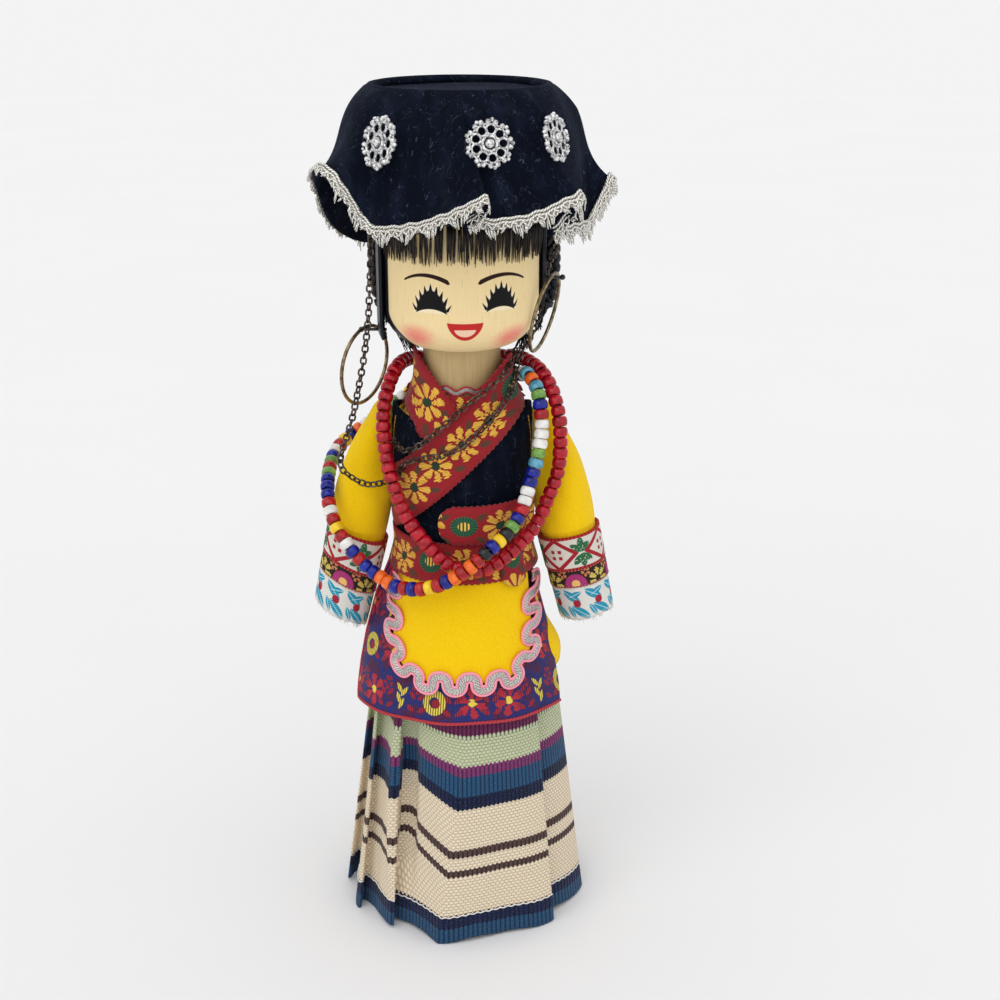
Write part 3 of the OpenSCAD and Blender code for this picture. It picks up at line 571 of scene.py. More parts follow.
def paint_face(tree):
    look = paint_wood(tree, (240, 210, 150), (253, 233, 186))
    x, y, z = split_place(body_place(tree))
    turn = turn_of(x, -y)
    s = turn * FACE_R
    colour = add_cheeks(tree, look["colour"], s, z)
    colour = add_mouth(add_brows(add_eyes(colour, s, z), s, z), s, z)
    edge = size_of(turn - math.radians(9))
    behind = rise(edge - math.radians(57) - rise(z, 133.0, 141.0) * math.radians(17), -0.015, 0.015)
    colour = mix(behind, colour, shade(22, 22, 30))
    return {"colour": colour, "height": look["height"], "rough": look["rough"]}


# Cloth

def paint_felt(tree):
    fine, broad = use(FUZZ, body_place(tree))
    hairs = speckle(body_place(tree, (700, 2400, 700)), 0.5, 4.0, 0.7)
    colour = mix(rise(fine, 0.35, 0.75), shade(246, 194, 4), shade(255, 226, 24))
    colour = mix(broad * 0.3, colour, shade(246, 198, 6))
    colour = mix(rise(hairs, 0.62, 0.74) * 0.3, colour, shade(186, 136, 10))
    return {"colour": colour, "height": fine + hairs * 0.5}


def paint_velvet(tree):
    fine = use(FUZZ, body_place(tree))[0]
    brush = speckle(body_place(tree, (420, 420, 170)), 1.3, 4.0, 0.65)
    colour = mix(rise(brush, 0.4, 0.8), shade(9, 14, 26), shade(18, 26, 44))
    worn = rise(speckle(body_place(tree, (160, 160, 70)), 1.0, 3.0, 0.6), 0.5, 0.74)
    dust = rise(speckle(body_place(tree), 0.22, 2.0, 0.6), 0.6, 0.76)
    colour = mix(worn * 0.14 + dust * worn * 0.3, colour, shade(62, 74, 94))
    for stretch, grain in (((760, 760, 520), 1.2), ((620, 900, 340), 1.0)):
        lint = inside(size_of(speckle(body_place(tree, stretch), grain, 1.0) - 0.5), 0.004, 0.004)
        lint = lint * rise(speckle(body_place(tree), grain * 1.9, 1.0), 0.54, 0.6)
        colour = mix(lint * 0.42, colour, shade(104, 116, 136))
    return {"colour": colour, "height": fine + brush * 0.6}


def paint_skirt(tree):
    u, v = cloth_place(tree)
    warp, weft, ramp_high = 1.12, 0.72, 70
    height, lot = use(WEAVE, u, v, warp, weft)
    nub = size_of(part(u / warp) - 0.5) * 0.9
    level = v + nub - 0.22
    ramp = tree.nodes.new("ShaderNodeValToRGB")
    ramp.color_ramp.interpolation = "CONSTANT"
    put(tree, ramp.inputs[0], level / ramp_high)
    bands = [
        (0, (42, 84, 124)), (3.6, (28, 38, 78)), (6.9, (252, 238, 212)), (16.6, (92, 70, 66)),
        (18.3, (252, 238, 212)), (21.3, (92, 70, 66)), (23.0, (252, 238, 212)), (32.7, (26, 36, 72)),
        (35.8, (42, 88, 130)), (40.2, (136, 60, 118)), (42.7, (208, 220, 182)), (49.7, (120, 46, 94)),
    ]
    stops = ramp.color_ramp.elements
    for k, (at, tone) in enumerate(bands):
        stop = stops[k] if k < 2 else stops.new(0.999)
        stop.position = at / ramp_high
        stop.color = shade(*tone)
    colour = Field(tree, ramp.outputs[0])
    dyed = most(inside(v, 6.7, 0.3), rise(v, 32.7, 33.0) * inside(v, 42.5, 0.3))
    dyed = most(dyed, rise(v, 48.7, 49.0))
    for low in (16.5, 21.2):
        dyed = most(dyed, rise(v, low, low + 0.2) * inside(v, low + 1.7, 0.2))
    twist = speckle(join_place(u * 3.0, v * 6.0), 1.0, 3.0)
    rib = size_of(sine(u * (math.pi / warp)))
    speck = rise(speckle(join_place(u * 2.2, v * 1.1), 0.5, 1.0), 0.62, 0.72)
    colour = mix(rise(lot, 0.35, 0.75) * (1 - dyed) * 0.1, colour, shade(255, 248, 236))
    # Painted shade: the gaps between threads and the grooves between the dyed ribs are darkened.
    colour = mix((1 - height) * (1 - dyed * 0.5) * 0.6, colour, shade(150, 118, 80), "MULTIPLY")
    colour = mix(power(1 - rib, 1.5) * dyed * 0.9, colour, shade(56, 56, 72), "MULTIPLY")
    colour = mix(speck * rib * dyed * 0.22, colour, shade(150, 186, 214))
    colour = mix(twist * 0.22, colour, shade(170, 150, 136), "MULTIPLY")
    return {"colour": colour, "height": height * (1 - dyed * 0.5) + rib * dyed * 0.9 + twist * 0.25}


def ribbon_ground(u, v, dark, light):
    """Colour and height of a ribbon's plain weave, with painted shade in the gaps between threads and a
    random tone for each thread.
    """
    height, lot = use(WEAVE, u, v, 0.34, 0.26)
    # Painted shade: darker where the weave is low, lighter on the thread crowns.
    colour = mix(height * 0.7 + lot * 0.3, shade(*dark), shade(*light))
    return colour, height


def spray_of(x, y, leaves):
    """Leaves, given by their turn, shift, length and width, and their veins."""
    found = [use(LEAF, x - shift_x, y - shift_y, length, width, turn)
             for turn, shift_x, shift_y, length, width in leaves]
    return [functools.reduce(most, masks) for masks in zip(*found)]


def stitched(colour, mask, thread, dark, light):
    """Stitches over a colour, from their dark gaps to their light threads: painted shade between the stitches
    and painted light along each thread.
    """
    return mix(mask, colour, mix(thread, shade(*dark), shade(*light)))


def paint_red_ribbon(tree):
    u, v = cloth_place(tree)
    pitch = 7.3
    colour, height = ribbon_ground(u, v, (108, 14, 22), (172, 29, 39))
    turn = whole(u / pitch)
    fifth = part(turn / 5 + 0.01)
    x = (part(u / pitch) - 0.5) * pitch
    petal, heart, thread = use(FLOWER, x, v + sine(turn * 2.1) * 0.5, 3.7, 8.0, turn * 0.7)
    oval_here = inside(fifth, 0.1, 0.02)
    petal, heart = petal * (1 - oval_here), heart * (1 - oval_here)
    between_x = (part(u / pitch + 0.5) - 0.5) * pitch
    leaves = spray_of(between_x, v, [(0.6, -1.3, 1.2, 2.6, 1.3), (-0.5, -1.3, -2.6, 2.6, 1.3)])[0]
    colour = mix(leaves * 0.85, colour, shade(74, 60, 40))
    colour = stitched(colour, petal, thread, (150, 74, 20), (255, 204, 78))
    colour = mix(heart, colour, shade(28, 60, 38))
    ring = far(x / 2.7, v / 2.3)
    ray = sine(turn_of(v, x) * 22.0) * 0.5 + 0.5
    oval = inside(ring, 1.0, 0.06) * oval_here
    colour = stitched(colour, oval, ray, (22, 62, 44), (48, 104, 72))
    core = inside(far(x / 1.25, v / 1.0), 1.0, 0.08) * oval_here
    colour = stitched(colour, core, rise(sine(x * 9.0), -0.2, 0.2), (60, 74, 40), (246, 206, 96))
    raised = most(most(petal, oval), heart)
    return {"colour": colour, "height": height * 0.5 + raised * (thread * 0.4 + 0.9)}


def paint_brocade(tree):
    u, v = cloth_place(tree)
    pitch, row_pitch = 8.7, 9.4
    height, lot = use(WEAVE, u, v, 0.62, 0.44)
    drift = speckle(join_place(u, v), 5.0, 1.0) + rise(v, 6.0, 14.0) * 0.1
    colour = mix(rise(drift, 0.48, 0.64), shade(38, 42, 118), shade(84, 26, 72))
    # Painted shade in the gaps between threads, with some threads made darker at random.
    colour = mix((1 - height) * 0.6 + rise(lot, 0.4, 0.8) * 0.25, colour, shade(70, 46, 80), "MULTIPLY")
    row = whole(v / row_pitch)
    shift = (u + 10.75) / pitch + row * 0.5
    cell = whole(shift)
    x = (part(shift) - 0.5) * pitch
    y = (part(v / row_pitch) - 0.44) * row_pitch
    kind = part((cell + row * 2) / 4 + 0.01)
    second, third = inside(kind, 0.1, 0.02), rise(kind, 0.7, 0.72)
    first = (1 - second) * (1 - third)
    petal, heart, thread = use(FLOWER, x, y, 3.5, 6.0, cell * 0.4)
    petal, heart = petal * first, heart * first
    colour = stitched(colour, petal, thread, (132, 18, 36), (190, 44, 62))
    colour = mix(heart, colour, shade(232, 206, 72))
    reach = far(x, y)
    ring = inside(reach, 2.7, 0.08) * rise(reach, 1.1, 1.25) * second
    line = rise(sine(x * 11.0), -0.4, 0.4)
    colour = stitched(colour, ring, line, (120, 104, 34), (236, 216, 90))
    colour = mix(inside(far(x - 0.4, y + 0.2), 0.95, 0.08) * second, colour, shade(142, 22, 40))
    sprig = spray_of(x, y, [(turn, shift_x, shift_y, 2.8, 1.0) for turn, shift_x, shift_y in (
        (1.1, -0.2, -2.6), (2.1, 0.2, -1.4), (0.9, 0.0, 0.2), (2.3, 0.3, 0.9))])[0] * third
    colour = stitched(colour, sprig, line, (150, 130, 40), (238, 218, 84))
    bud_x = (part(shift + 0.5) - 0.5) * pitch
    leaves = spray_of(bud_x, y, [(turn, shift_x, shift_y, 2.3, 1.1) for turn, shift_x, shift_y in (
        (0.7, 0.3, 0.0), (2.4, -0.3, 0.0), (0.5, 0.4, -2.6), (2.6, -0.4, -2.6))])[0]
    bud = most(use(FLOWER, bud_x, y - 2.6, 1.6, 5.0, cell)[0], leaves)
    colour = stitched(colour, bud, line, (104, 16, 38), (166, 34, 58))
    raised = most(most(petal, ring), most(sprig, bud))
    return {"colour": colour, "height": height * 0.5 + raised * 1.2}


def paint_diamond_ribbon(tree):
    u, v = cloth_place(tree)
    pitch = 11.6
    colour, height = ribbon_ground(u, v, (188, 182, 172), (240, 236, 226))
    x = (part(u / pitch) - 0.5) * pitch
    ring = size_of(x) * 0.74 + size_of(v) * 0.96
    step = whole(ring / 0.35) * 0.35
    outline = inside(size_of(step - 3.1), 0.5, 0.05)
    small = inside(size_of(size_of(x) - 0.8), 0.42, 0.06) * inside(size_of(size_of(v) - 0.75), 0.4, 0.06)
    other = (part(u / pitch + 0.5) - 0.5) * pitch
    spray = spray_of(other, v, [(turn, shift_x, shift_y, 3.2, 1.6) for turn, shift_x, shift_y in (
        (0.6, -0.4, 0.2), (2.5, 0.2, 0.2), (-0.6, -0.3, -0.4), (-2.4, 0.2, -0.5), (1.5, 0.0, 0.4),
        (-1.6, 0.2, -0.4))])[0]
    ragged = speckle(join_place(u, v), 0.5, 2.0)
    spray = spray * rise(ragged, 0.34, 0.42)
    line = rise(sine(u * 14.0 + v * 6.0), -0.5, 0.5)
    colour = stitched(colour, spray, line, (28, 78, 48), (62, 128, 84))
    colour = stitched(colour, most(outline, small), line, (140, 20, 34), (190, 48, 60))
    edge = rise(size_of(v), 3.3, 3.4)
    colour = stitched(colour, edge, rise(sine(u * 7.0), -0.3, 0.3), (150, 26, 34), (196, 60, 58))
    raised = most(most(spray, outline), most(small, edge))
    return {"colour": colour, "height": height * 0.6 + raised}


def paint_black_ribbon(tree):
    u, v = cloth_place(tree)
    pitch = 5.8
    colour, height = ribbon_ground(u, v, (22, 14, 16), (52, 34, 34))
    turn = whole(u / pitch)
    odd = rise(part(turn / 2 + 0.01), 0.4, 0.42)
    x = (part(u / pitch) - 0.5) * pitch
    petal, _, thread = use(FLOWER, x, v + 1.3, 2.7, 7.0, 0.2)
    colour = stitched(colour, petal * (1 - odd), thread, (150, 128, 52), (226, 208, 104))
    dome = inside(far(x / 2.7, (v + 1.6) / 2.7), 1.0, 0.06) * odd
    colour = stitched(colour, dome, thread, (128, 26, 84), (184, 62, 128))
    eye = inside(far(x / 1.0, (v + 1.2) / 0.9), 1.0, 0.1) * odd
    colour = mix(eye, colour, shade(238, 190, 110))
    side = (part(u / pitch + 0.5) - 0.5) * pitch
    bud, _, bud_thread = use(FLOWER, side, v - 1.2, 1.2, 5.0, 0.6)
    colour = stitched(colour, bud, bud_thread, (150, 40, 60), (220, 150, 90))
    edge = rise(size_of(v), 1.75, 1.82)
    colour = stitched(colour, edge, rise(sine(u * 8.0), -0.3, 0.3), (120, 40, 40), (206, 120, 108))
    return {"colour": colour, "height": height * 0.5 + most(most(petal * (1 - odd), dome), bud)}


def paint_leaf_ribbon(tree):
    u, v = cloth_place(tree)
    pitch = 5.6
    colour, height = ribbon_ground(u, v, (196, 196, 188), (244, 243, 236))
    x = (part(u / pitch) - 0.5) * pitch
    leaves, veins = spray_of(x, v, [
        (2.55, 1.2, 0.3, 5.2, 2.0), (2.55, 1.2 - pitch, 0.3, 5.2, 2.0), (-0.62, -1.4, -0.6, 5.4, 2.1),
        (-0.62, -1.4 + pitch, -0.6, 5.4, 2.1), (-1.1, -2.4, -0.5, 3.4, 1.3), (0.35, -1.6, 1.5, 3.6, 1.4)])
    line = rise(sine(u * 9.0 - v * 11.0), -0.6, 0.6)
    colour = stitched(colour, leaves, line, (20, 118, 150), (58, 178, 206))
    colour = mix(veins * 0.7, colour, shade(206, 234, 242))
    dot = inside(far(x - 0.2, v), 0.95, 0.08)
    colour = stitched(colour, dot, line, (140, 22, 40), (188, 52, 66))
    fray = rise(v, -2.6, -3.6) * speckle(join_place(u * 2, v), 0.5, 2.0)
    colour = mix(fray * 0.6, colour, shade(236, 232, 220))
    return {"colour": colour, "height": height * 0.6 + most(leaves, dot)}


# Threads, metal, glass and hair

def paint_twist(dark, light, turns=0.9):
    """Cord or thread: strands that wind round it, with painted shade in the grooves between them and painted
    light on their crowns.
    """
    def paint(tree):
        u, v = cloth_place(tree)
        strand = size_of(sine((u / turns + v * 2) * math.pi))
        fluff = speckle(body_place(tree), 0.3, 2.0)
        # Painted shade between strands and painted light on their crowns, with random fluff.
        colour = mix(strand * 0.8 + fluff * 0.3, shade(*dark), shade(*light))
        return {"colour": colour, "height": strand + fluff * 0.3}
    return paint


def paint_metal(dark, light, grain=1.2):
    """Metal with darker tarnish in patches."""
    def paint(tree):
        place = body_place(tree)
        patch = speckle(place, grain, 4.0, 0.65)
        colour = mix(rise(patch, 0.32, 0.66), shade(*dark), shade(*light))
        return {"colour": colour, "height": speckle(place, 0.25, 3.0), "rough": 0.62 - patch * 0.42}
    return paint


def paint_glass(dark, light):
    """Opaque glass with faint swirls."""
    def paint(tree):
        place = body_place(tree)
        swirl = speckle(place, 1.6, 3.0, 0.6)
        colour = mix(rise(swirl, 0.35, 0.7), shade(*dark), shade(*light))
        return {"colour": colour, "height": speckle(place, 0.7, 2.0), "rough": swirl * 0.16 + 0.14}
    return paint


def paint_hair(tree):
    streak = speckle(body_place(tree, (2600, 2600, 60)), 0.5, 3.0, 0.6)
    colour = mix(rise(streak, 0.4, 0.75), shade(8, 10, 18), shade(26, 30, 44))
    return {"colour": colour, "height": streak, "rough": streak * 0.25 + 0.22}


def paint_fibre(tree):
    tone = speckle(body_place(tree, (1800, 1800, 240)), 0.5, 2.0)
    colour = mix(rise(tone, 0.4, 0.65), shade(16, 14, 14), shade(58, 50, 44))
    return {"colour": colour, "rough": tone * 0.2 + 0.4}


def paint_lace(tree):
    u, v = cloth_place(tree)
    chevron = size_of(part(u / 1.1 + size_of(v) * 0.55) - 0.5) * 2
    rib = size_of(sine(v * 3.6))
    tone = speckle(body_place(tree), 0.5, 3.0)
    # Painted shade in the low gaps of the braid and painted glints on its raised chevrons, with a random
    # tone.
    colour = mix(chevron * 0.6 + tone * 0.4, shade(58, 55, 50), shade(216, 210, 196))
    return {"colour": colour, "height": chevron + rib * 0.4, "rough": tone * 0.3 + 0.28}


# Bare wood, darker than the painted face, and darkened further as painted shade because the neck sits in
# shade under the head.
def paint_shaded_neck(tree):
    return paint_wood(tree, (172, 146, 100), (214, 188, 138))


def paint_card(tree):
    fine = use(FUZZ, body_place(tree))[0]
    return {"colour": mix(fine, shade(14, 15, 22), shade(30, 32, 42)), "height": fine}


wood = finish("pale_wood", paint_shaded_neck, bump=0.2, depth=0.1, specular=0.3)
face = finish("painted_face", paint_face, bump=0.1, depth=0.1, specular=0.15)
pin_wood = finish("pin_wood", paint_wood, bump=0.2)
felt = finish("yellow_felt", paint_felt, rough=0.95, bump=0.55, depth=0.16, sheen=0.25, sheen_rough=0.5,
              sheen_tint=shade(255, 236, 150), specular=0.15)
velvet = finish("black_velvet", paint_velvet, rough=0.9, bump=0.5, depth=0.18, sheen=0.1, sheen_rough=0.35,
                sheen_tint=shade(120, 132, 170), specular=0.06)
wool = finish("striped_wool", paint_skirt, rough=0.92, bump=0.8, depth=0.25, sheen=0.1, specular=0.15)
red_ribbon = finish("red_ribbon", paint_red_ribbon, rough=0.72, bump=0.6, depth=0.14, sheen=0.1,
                    specular=0.25)
brocade = finish("blue_brocade", paint_brocade, rough=0.62, bump=0.6, depth=0.14, specular=0.3)
diamond_ribbon = finish("white_ribbon", paint_diamond_ribbon, rough=0.8, bump=0.6, depth=0.14, specular=0.2)
black_ribbon = finish("black_ribbon", paint_black_ribbon, rough=0.75, bump=0.6, depth=0.14, specular=0.25)
leaf_ribbon = finish("turquoise_ribbon", paint_leaf_ribbon, rough=0.8, bump=0.6, depth=0.14, specular=0.2)
pink_cord = finish("pink_cord", paint_twist((236, 128, 150), (254, 164, 184), 0.5), rough=0.5,
                   bump=0.2, depth=0.05)
red_cord = finish("red_cord", paint_twist((128, 22, 34), (196, 52, 62)), rough=0.7, bump=0.5, depth=0.08)
gold_cord = finish("gold_cord", paint_twist((34, 26, 18), (228, 180, 78)), rough=0.45, metal=0.5,
                   bump=0.5, depth=0.08)
silver_cord = finish("silver_cord", paint_twist((112, 108, 98), (255, 253, 246), 0.7), rough=0.25, metal=0.6,
                     bump=0.7, depth=0.12)
gimp_core = finish("gimp_core", paint_twist((84, 80, 78), (226, 222, 216), 0.7), rough=0.28, metal=0.75,
                   bump=0.6, depth=0.1)
thread = finish("bead_thread", paint_twist((70, 52, 46), (128, 104, 92), 0.5), rough=0.8, bump=0.4,
                depth=0.05)
white_thread = finish("white_thread", paint_twist((196, 192, 184), (250, 248, 242), 0.6), rough=0.8,
                      bump=0.4, depth=0.06)
tie_thread = finish("tie_thread", paint_twist((16, 16, 20), (52, 52, 60), 0.5), rough=0.7, bump=0.4,
                    depth=0.05)
bronze = finish("dark_bronze", paint_metal((36, 31, 29), (112, 98, 88)), metal=0.9, bump=0.2, depth=0.05)
brass = finish("aged_brass", paint_metal((92, 78, 56), (168, 150, 116)), metal=0.95, bump=0.15, depth=0.05)
silver = finish("silver_filigree", paint_metal((104, 104, 108), (255, 255, 255), 0.55), metal=0.6,
                bump=0.1, depth=0.05)
lace = finish("silver_lace", paint_lace, metal=0.55, bump=0.9, depth=0.2)
hair = finish("black_hair", paint_hair, bump=0.5, depth=0.12, specular=0.3)
fibre = finish("fringe_fibre", paint_fibre, specular=0.25)
card = finish("hat_card", paint_card, rough=0.9, bump=0.4)
black_pin = finish("black_pin", paint_metal((14, 14, 18), (40, 40, 46)), bump=0.1)
GLASS_TONES = {
    "red": ((144, 5, 24), (196, 18, 42)),
    "blue": ((8, 18, 112), (22, 42, 166)),
    "scarlet": ((150, 14, 24), (196, 34, 36)),
    "white": ((224, 222, 216), (248, 247, 244)),
    "orange": ((224, 84, 20), (250, 124, 40)),
    "yellow": ((232, 186, 20), (252, 216, 50)),
    "green": ((92, 140, 60), (140, 184, 92)),
    "turquoise": ((70, 140, 170), (112, 178, 202)),
    "black": ((14, 14, 18), (36, 36, 42)),
}
glass = {tone: finish(tone + "_glass", paint_glass(*colours), bump=0.15, depth=0.1, coat=0.3, coat_rough=0.06,
                      specular=0.25) for tone, colours in GLASS_TONES.items()}

# Solids that keep their CAD shape
for node, material in (
        ("body_peg", wood), ("head_block", face), ("left_shoulder_pin", pin_wood),
        ("right_shoulder_pin", pin_wood), ("hat_band", card)):
    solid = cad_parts[node]
    solid.data.materials.clear()
    solid.data.materials.append(material)


# Radius of the wooden form and of the collar at each height

FORM = [(51.5, 22.1), (52.5, 21.8), (88, 11.8), (104, 12.8), (114, 12.2), (118, 10.4)]
COLLAR = [(92.1, 14.06), (104, 14.8), (114, 14.2), (118.5, 12.6), (124.5, 9.9), (127.5, 9.6)]


def form_r(z):
    return soft_between(z, FORM, 1.5)


def collar_r(z):
    return soft_between(z, COLLAR, 1.5)


def lengths_along(points):
    """Distance along each row of a grid of points."""
    steps = np.linalg.norm(np.diff(points, axis=1), axis=2)
    return np.concatenate([np.zeros((len(points), 1)), np.cumsum(steps, axis=1)], axis=1)


def all_round(grid):
    """A grid with its first column added again after its last."""
    return np.concatenate([grid, grid[:, :1]], axis=1)


# Skirt: knife pleats that fold under at each edge

def round_path(path, cuts):
    """Smooth columns round a full turn. The first two values of each are angles."""
    path = np.array(path, float)
    turn = np.zeros(path.shape[1])
    turn[:2] = 360
    line = smooth_line(np.vstack([path[-3:] - turn, path, path[:3] + turn]), cuts)
    return line[3 * cuts:(3 + len(path)) * cuts]


def pleat_path():
    """Columns round the skirt: free angle, folded angle and how far the cloth stands out."""
    front_edge = -40
    edges = [-170, -140, -115, -90, -65, front_edge, 50, 85, 115, 150]
    front = [(-28, -0.55), (-21, 0.0), (-16, 0.4), (-11, 0.75), (-6, 0.95), (0, 0.9), (9, 0.66), (20, 0.5),
             (33, 0.68), (42, 0.84)]
    fold = [(-3, -3, 0.9), (-1.2, -0.4, 1.0), (-0.2, 0.9, 0.82), (0.5, -0.6, 0.4), (1.4, -4.0, 0.1),
            (2.2, -5.2, -0.25), (3.0, -4.4, -0.6), (4.0, -0.8, -0.88), (5.5, 5.5, -1.0)]
    path = []
    for i, edge in enumerate(edges):
        last = edges[i + 1] if i + 1 < len(edges) else edges[0] + 360
        path += [(edge + a, edge + b, k) for a, b, k in fold]
        if edge == front_edge:
            path += [(a, a, k) for a, k in front]
        else:
            for share in (0.3, 0.55, 0.8):
                a = edge + 5.5 + share * (last - 8.5 - edge)
                path.append((a, a, -1 + 1.9 * share))
    return path


def skirt():
    free, folded, stand = round_path(pleat_path(), 5).T
    levels = np.concatenate([[0.4, 0.9, 1.6], np.linspace(3, 54, 34), np.linspace(58, 88, 7)])
    z = levels[:, None]
    oval = np.hypot(26.6 * np.sin(np.radians(free)), 22.8 * np.cos(np.radians(free)))
    share = np.clip((z - 0.4) / 52.1, 0, 1)
    under_tunic = between(z, [(52.5, 20.3), (88, 11.6)])
    base = np.where(z < 52.5, oval * (1 - share) + 20.3 * share, under_tunic)
    depth = between(z, [(0.4, 1.5), (52.5, 1.1), (88, 0.1)])
    angle = free + (folded - free) * np.clip(depth / 1.5, 0, 1) ** 0.7
    sag = 0.25 * np.sin(np.radians(free * 3 + z * 2)) * np.clip(1 - z / 70, 0, 1)
    low = np.clip(1 - z / 49, 0, 1)
    ridge_at = -13 + 15 * np.clip(z / 50, 0, 1)
    beside = free - ridge_at
    ridge = np.where(beside < 0, np.exp(beside / 10), np.exp(-beside / 17)) * low ** 0.6
    r = base + depth * stand + sag + 3.0 * ridge - 0.9 * low * np.exp(-((free - 24) / 14) ** 2)
    roll = between(z, [(0, 0), (8, 0), (24, 1), (42, 1), (52, 0.3), (60, 0)])
    r = r + roll * (1.5 * np.exp(-((free + 43) / 3) ** 2) - 2.0 * np.exp(-((free + 35) / 4) ** 2))
    lift = 0.3 + 0.3 * np.sin(np.radians(free * 7)) + 0.25 * np.sin(np.radians(free * 13 + 40))
    height = z + lift * np.clip(1 - z / 12, 0, 1)
    points = on_round(r, angle, height)
    runs = lengths_along(all_round(points))[2]
    hike = 0.5 * np.exp(-((free + 44) / 9) ** 2)
    v = z + hike * np.clip(1 - z / 56, 0, 1) * np.clip(z / 10, 0, 1)
    slope = np.clip((ridge_at - angle) / 34, 0, 1) * ((free > -37.5) & (free < 4))
    v = v - 5.8 * slope * between(z, [(0, 0), (6.5, 0), (16, 1), (34, 1), (50, 0.35), (88, 0)])
    places = together(runs[None], all_round(v))
    obj = cloth("skirt", points, places, 0.55, round_cols=True)
    dress(obj, "torso", wool, ["skirt"], "striped_wool")
    hem_stitching(points, levels, angle)


def hem_stitching(points, levels, angle):
    """A thread along the skirt, at the top of its turned hem."""
    seam_z = 6.9
    row = int(np.argmin(abs(levels - seam_z)))
    hem = even_line(points[row] + on_round(0.22, angle[row], 0), 0.35, closed=True)
    hem[:, 2] += 0.14 * np.sin(np.arange(len(hem)) * 1.2) + seam_z - levels[row]
    stock = Stock()
    stock.tube(hem, 0.15, 6, closed=True)
    dress(stock.make("hem_stitching"), "torso", white_thread, slot="striped_wool")


# Tunic and bodice

def shoulder(angles, r, target):
    """Cloth drawn out at the sides, where the sleeves meet it."""
    return r + np.clip(target - r, 0, 5) * np.exp(-((abs(angles) - 90) / 27) ** 2)


def tunic():
    angles = np.linspace(-180, 180, 180, endpoint=False)
    hem = 52.6 + 2.2 * np.exp(-(angles / 62) ** 6) + 7.0 * np.exp(-((angles - 84) / 24) ** 4)
    hem = hem + 0.25 * np.sin(np.radians(angles * 5))
    share = np.linspace(0, 1, 44)[:, None]
    z = hem + (118 - hem) * share
    ripple = 0.3 * np.sin(np.radians(angles * 6 + 20)) * np.clip((80 - z) / 25, 0, 1) * (abs(angles) > 82)
    r = form_r(z) + 0.9 + np.maximum(ripple, -0.05)
    r = r + 2.4 * np.exp(-((angles - 82) / 13) ** 2) * np.exp(-((z - 64.5) / 5.5) ** 2)
    r = np.where(z > 96, shoulder(angles, r, 13.9), r)
    points = on_round(r, angles, z)
    places = together(lengths_along(all_round(points)), all_round(z))
    obj = cloth("tunic", points, places, 0.8, round_cols=True)
    dress(obj, "torso", felt, ["tunic"], "yellow_felt")


def bodice():
    angles = np.linspace(-180, 180, 120, endpoint=False)
    top = 117.5 + 1.9 * np.exp(-((abs(angles) - 90) / 24) ** 2)
    low = 90.1
    z = low + (top - low) * np.linspace(0, 1, 24)[:, None]
    r = shoulder(angles, form_r(z) + 1.9, 15.12 - 0.02 * np.clip(z - 116.5, 0, 5) ** 2)
    points = on_round(r, angles, z)
    places = together(lengths_along(all_round(points)), all_round(z))
    obj = cloth("bodice", points, places, 0.8, round_cols=True)
    dress(obj, "torso", velvet, ["bodice"], "black_velvet")
    armhole_binding()


def armhole_binding():
    stock = Stock()
    for side in (-1, 1):
        low = 97.5
        height = np.linspace(low, 117.2, 60)
        lean = side * (77 + 4 * np.sin((height - low) / 19.3 * math.pi))
        reach = shoulder(lean, form_r(height) + 2.0, 14.8)
        stock.tube(on_round(reach, lean, height), 0.34, 8)
    dress(stock.make("armhole_binding"), "torso", gold_cord, slot="black_velvet")


# Ribbons with picot edges

def ribbon(name, middle, across, place, width, thick, closed=False, ends=None, start=0.0):
    """Ribbon along a middle line in flat coordinates. place(a, b) lays flat points on the doll."""
    rows = 9
    runs = run_of(middle)
    if closed:
        middle, across = middle[:-1], across[:-1]
    n = len(middle)
    s = runs[:n]
    v = np.linspace(-0.5, 0.5, rows)
    picot = 0.3 * abs(np.sin(math.pi * s / 1.2)) - 0.12
    half = np.full(n, width / 2)
    if ends is not None:
        half = ends(s, width / 2, runs[-1])
    offset = v[:, None] * 2 * half[None]
    offset[0] -= picot
    offset[-1] += picot
    flat = middle[None] + offset[..., None] * across[None]
    points = place(flat[..., 0], flat[..., 1])
    places = together(runs[None] + start, all_round(offset) if closed else offset)
    return cloth(name, points, places, thick, round_cols=closed)


def round_end(at_start, at_end, r):
    """Half widths of a ribbon with rounded ends."""
    def half(s, full, length):
        gone = np.full(len(s), full)
        for used, distance in ((at_start, s), (at_end, length - s)):
            if used:
                t = np.clip(1 - distance / r, 0, 1)
                gone = np.minimum(gone, full - r + r * np.sqrt(np.maximum(1 - t * t, 0.0004)))
        return gone
    return half


def straight(a, b):
    """Points from a to b, with the direction across at each."""
    a, b = np.array(a, float), np.array(b, float)
    count = int(np.linalg.norm(b - a) / 0.16)
    line = a + (b - a) * np.linspace(0, 1, count + 1)[:, None]
    way = (b - a) / np.linalg.norm(b - a)
    return line, np.broadcast_to([-way[1], way[0]], line.shape)


WAIST_R = 15.2


def on_form(lift):
    def place(a, z):
        return on_round(form_r(z) + lift, np.degrees(a / WAIST_R), z)
    return place


def on_chest(lift):
    def place(x, z):
        r = collar_r(z) + lift
        steep = 0.92
        share = np.clip(x / r, -steep, steep)
        over = (x / r - share) / math.sqrt(1 - steep ** 2)
        angle = np.clip(np.arcsin(share) + over, -math.pi / 2, math.pi / 2)
        return on_round(r, np.degrees(angle), z)
    return place


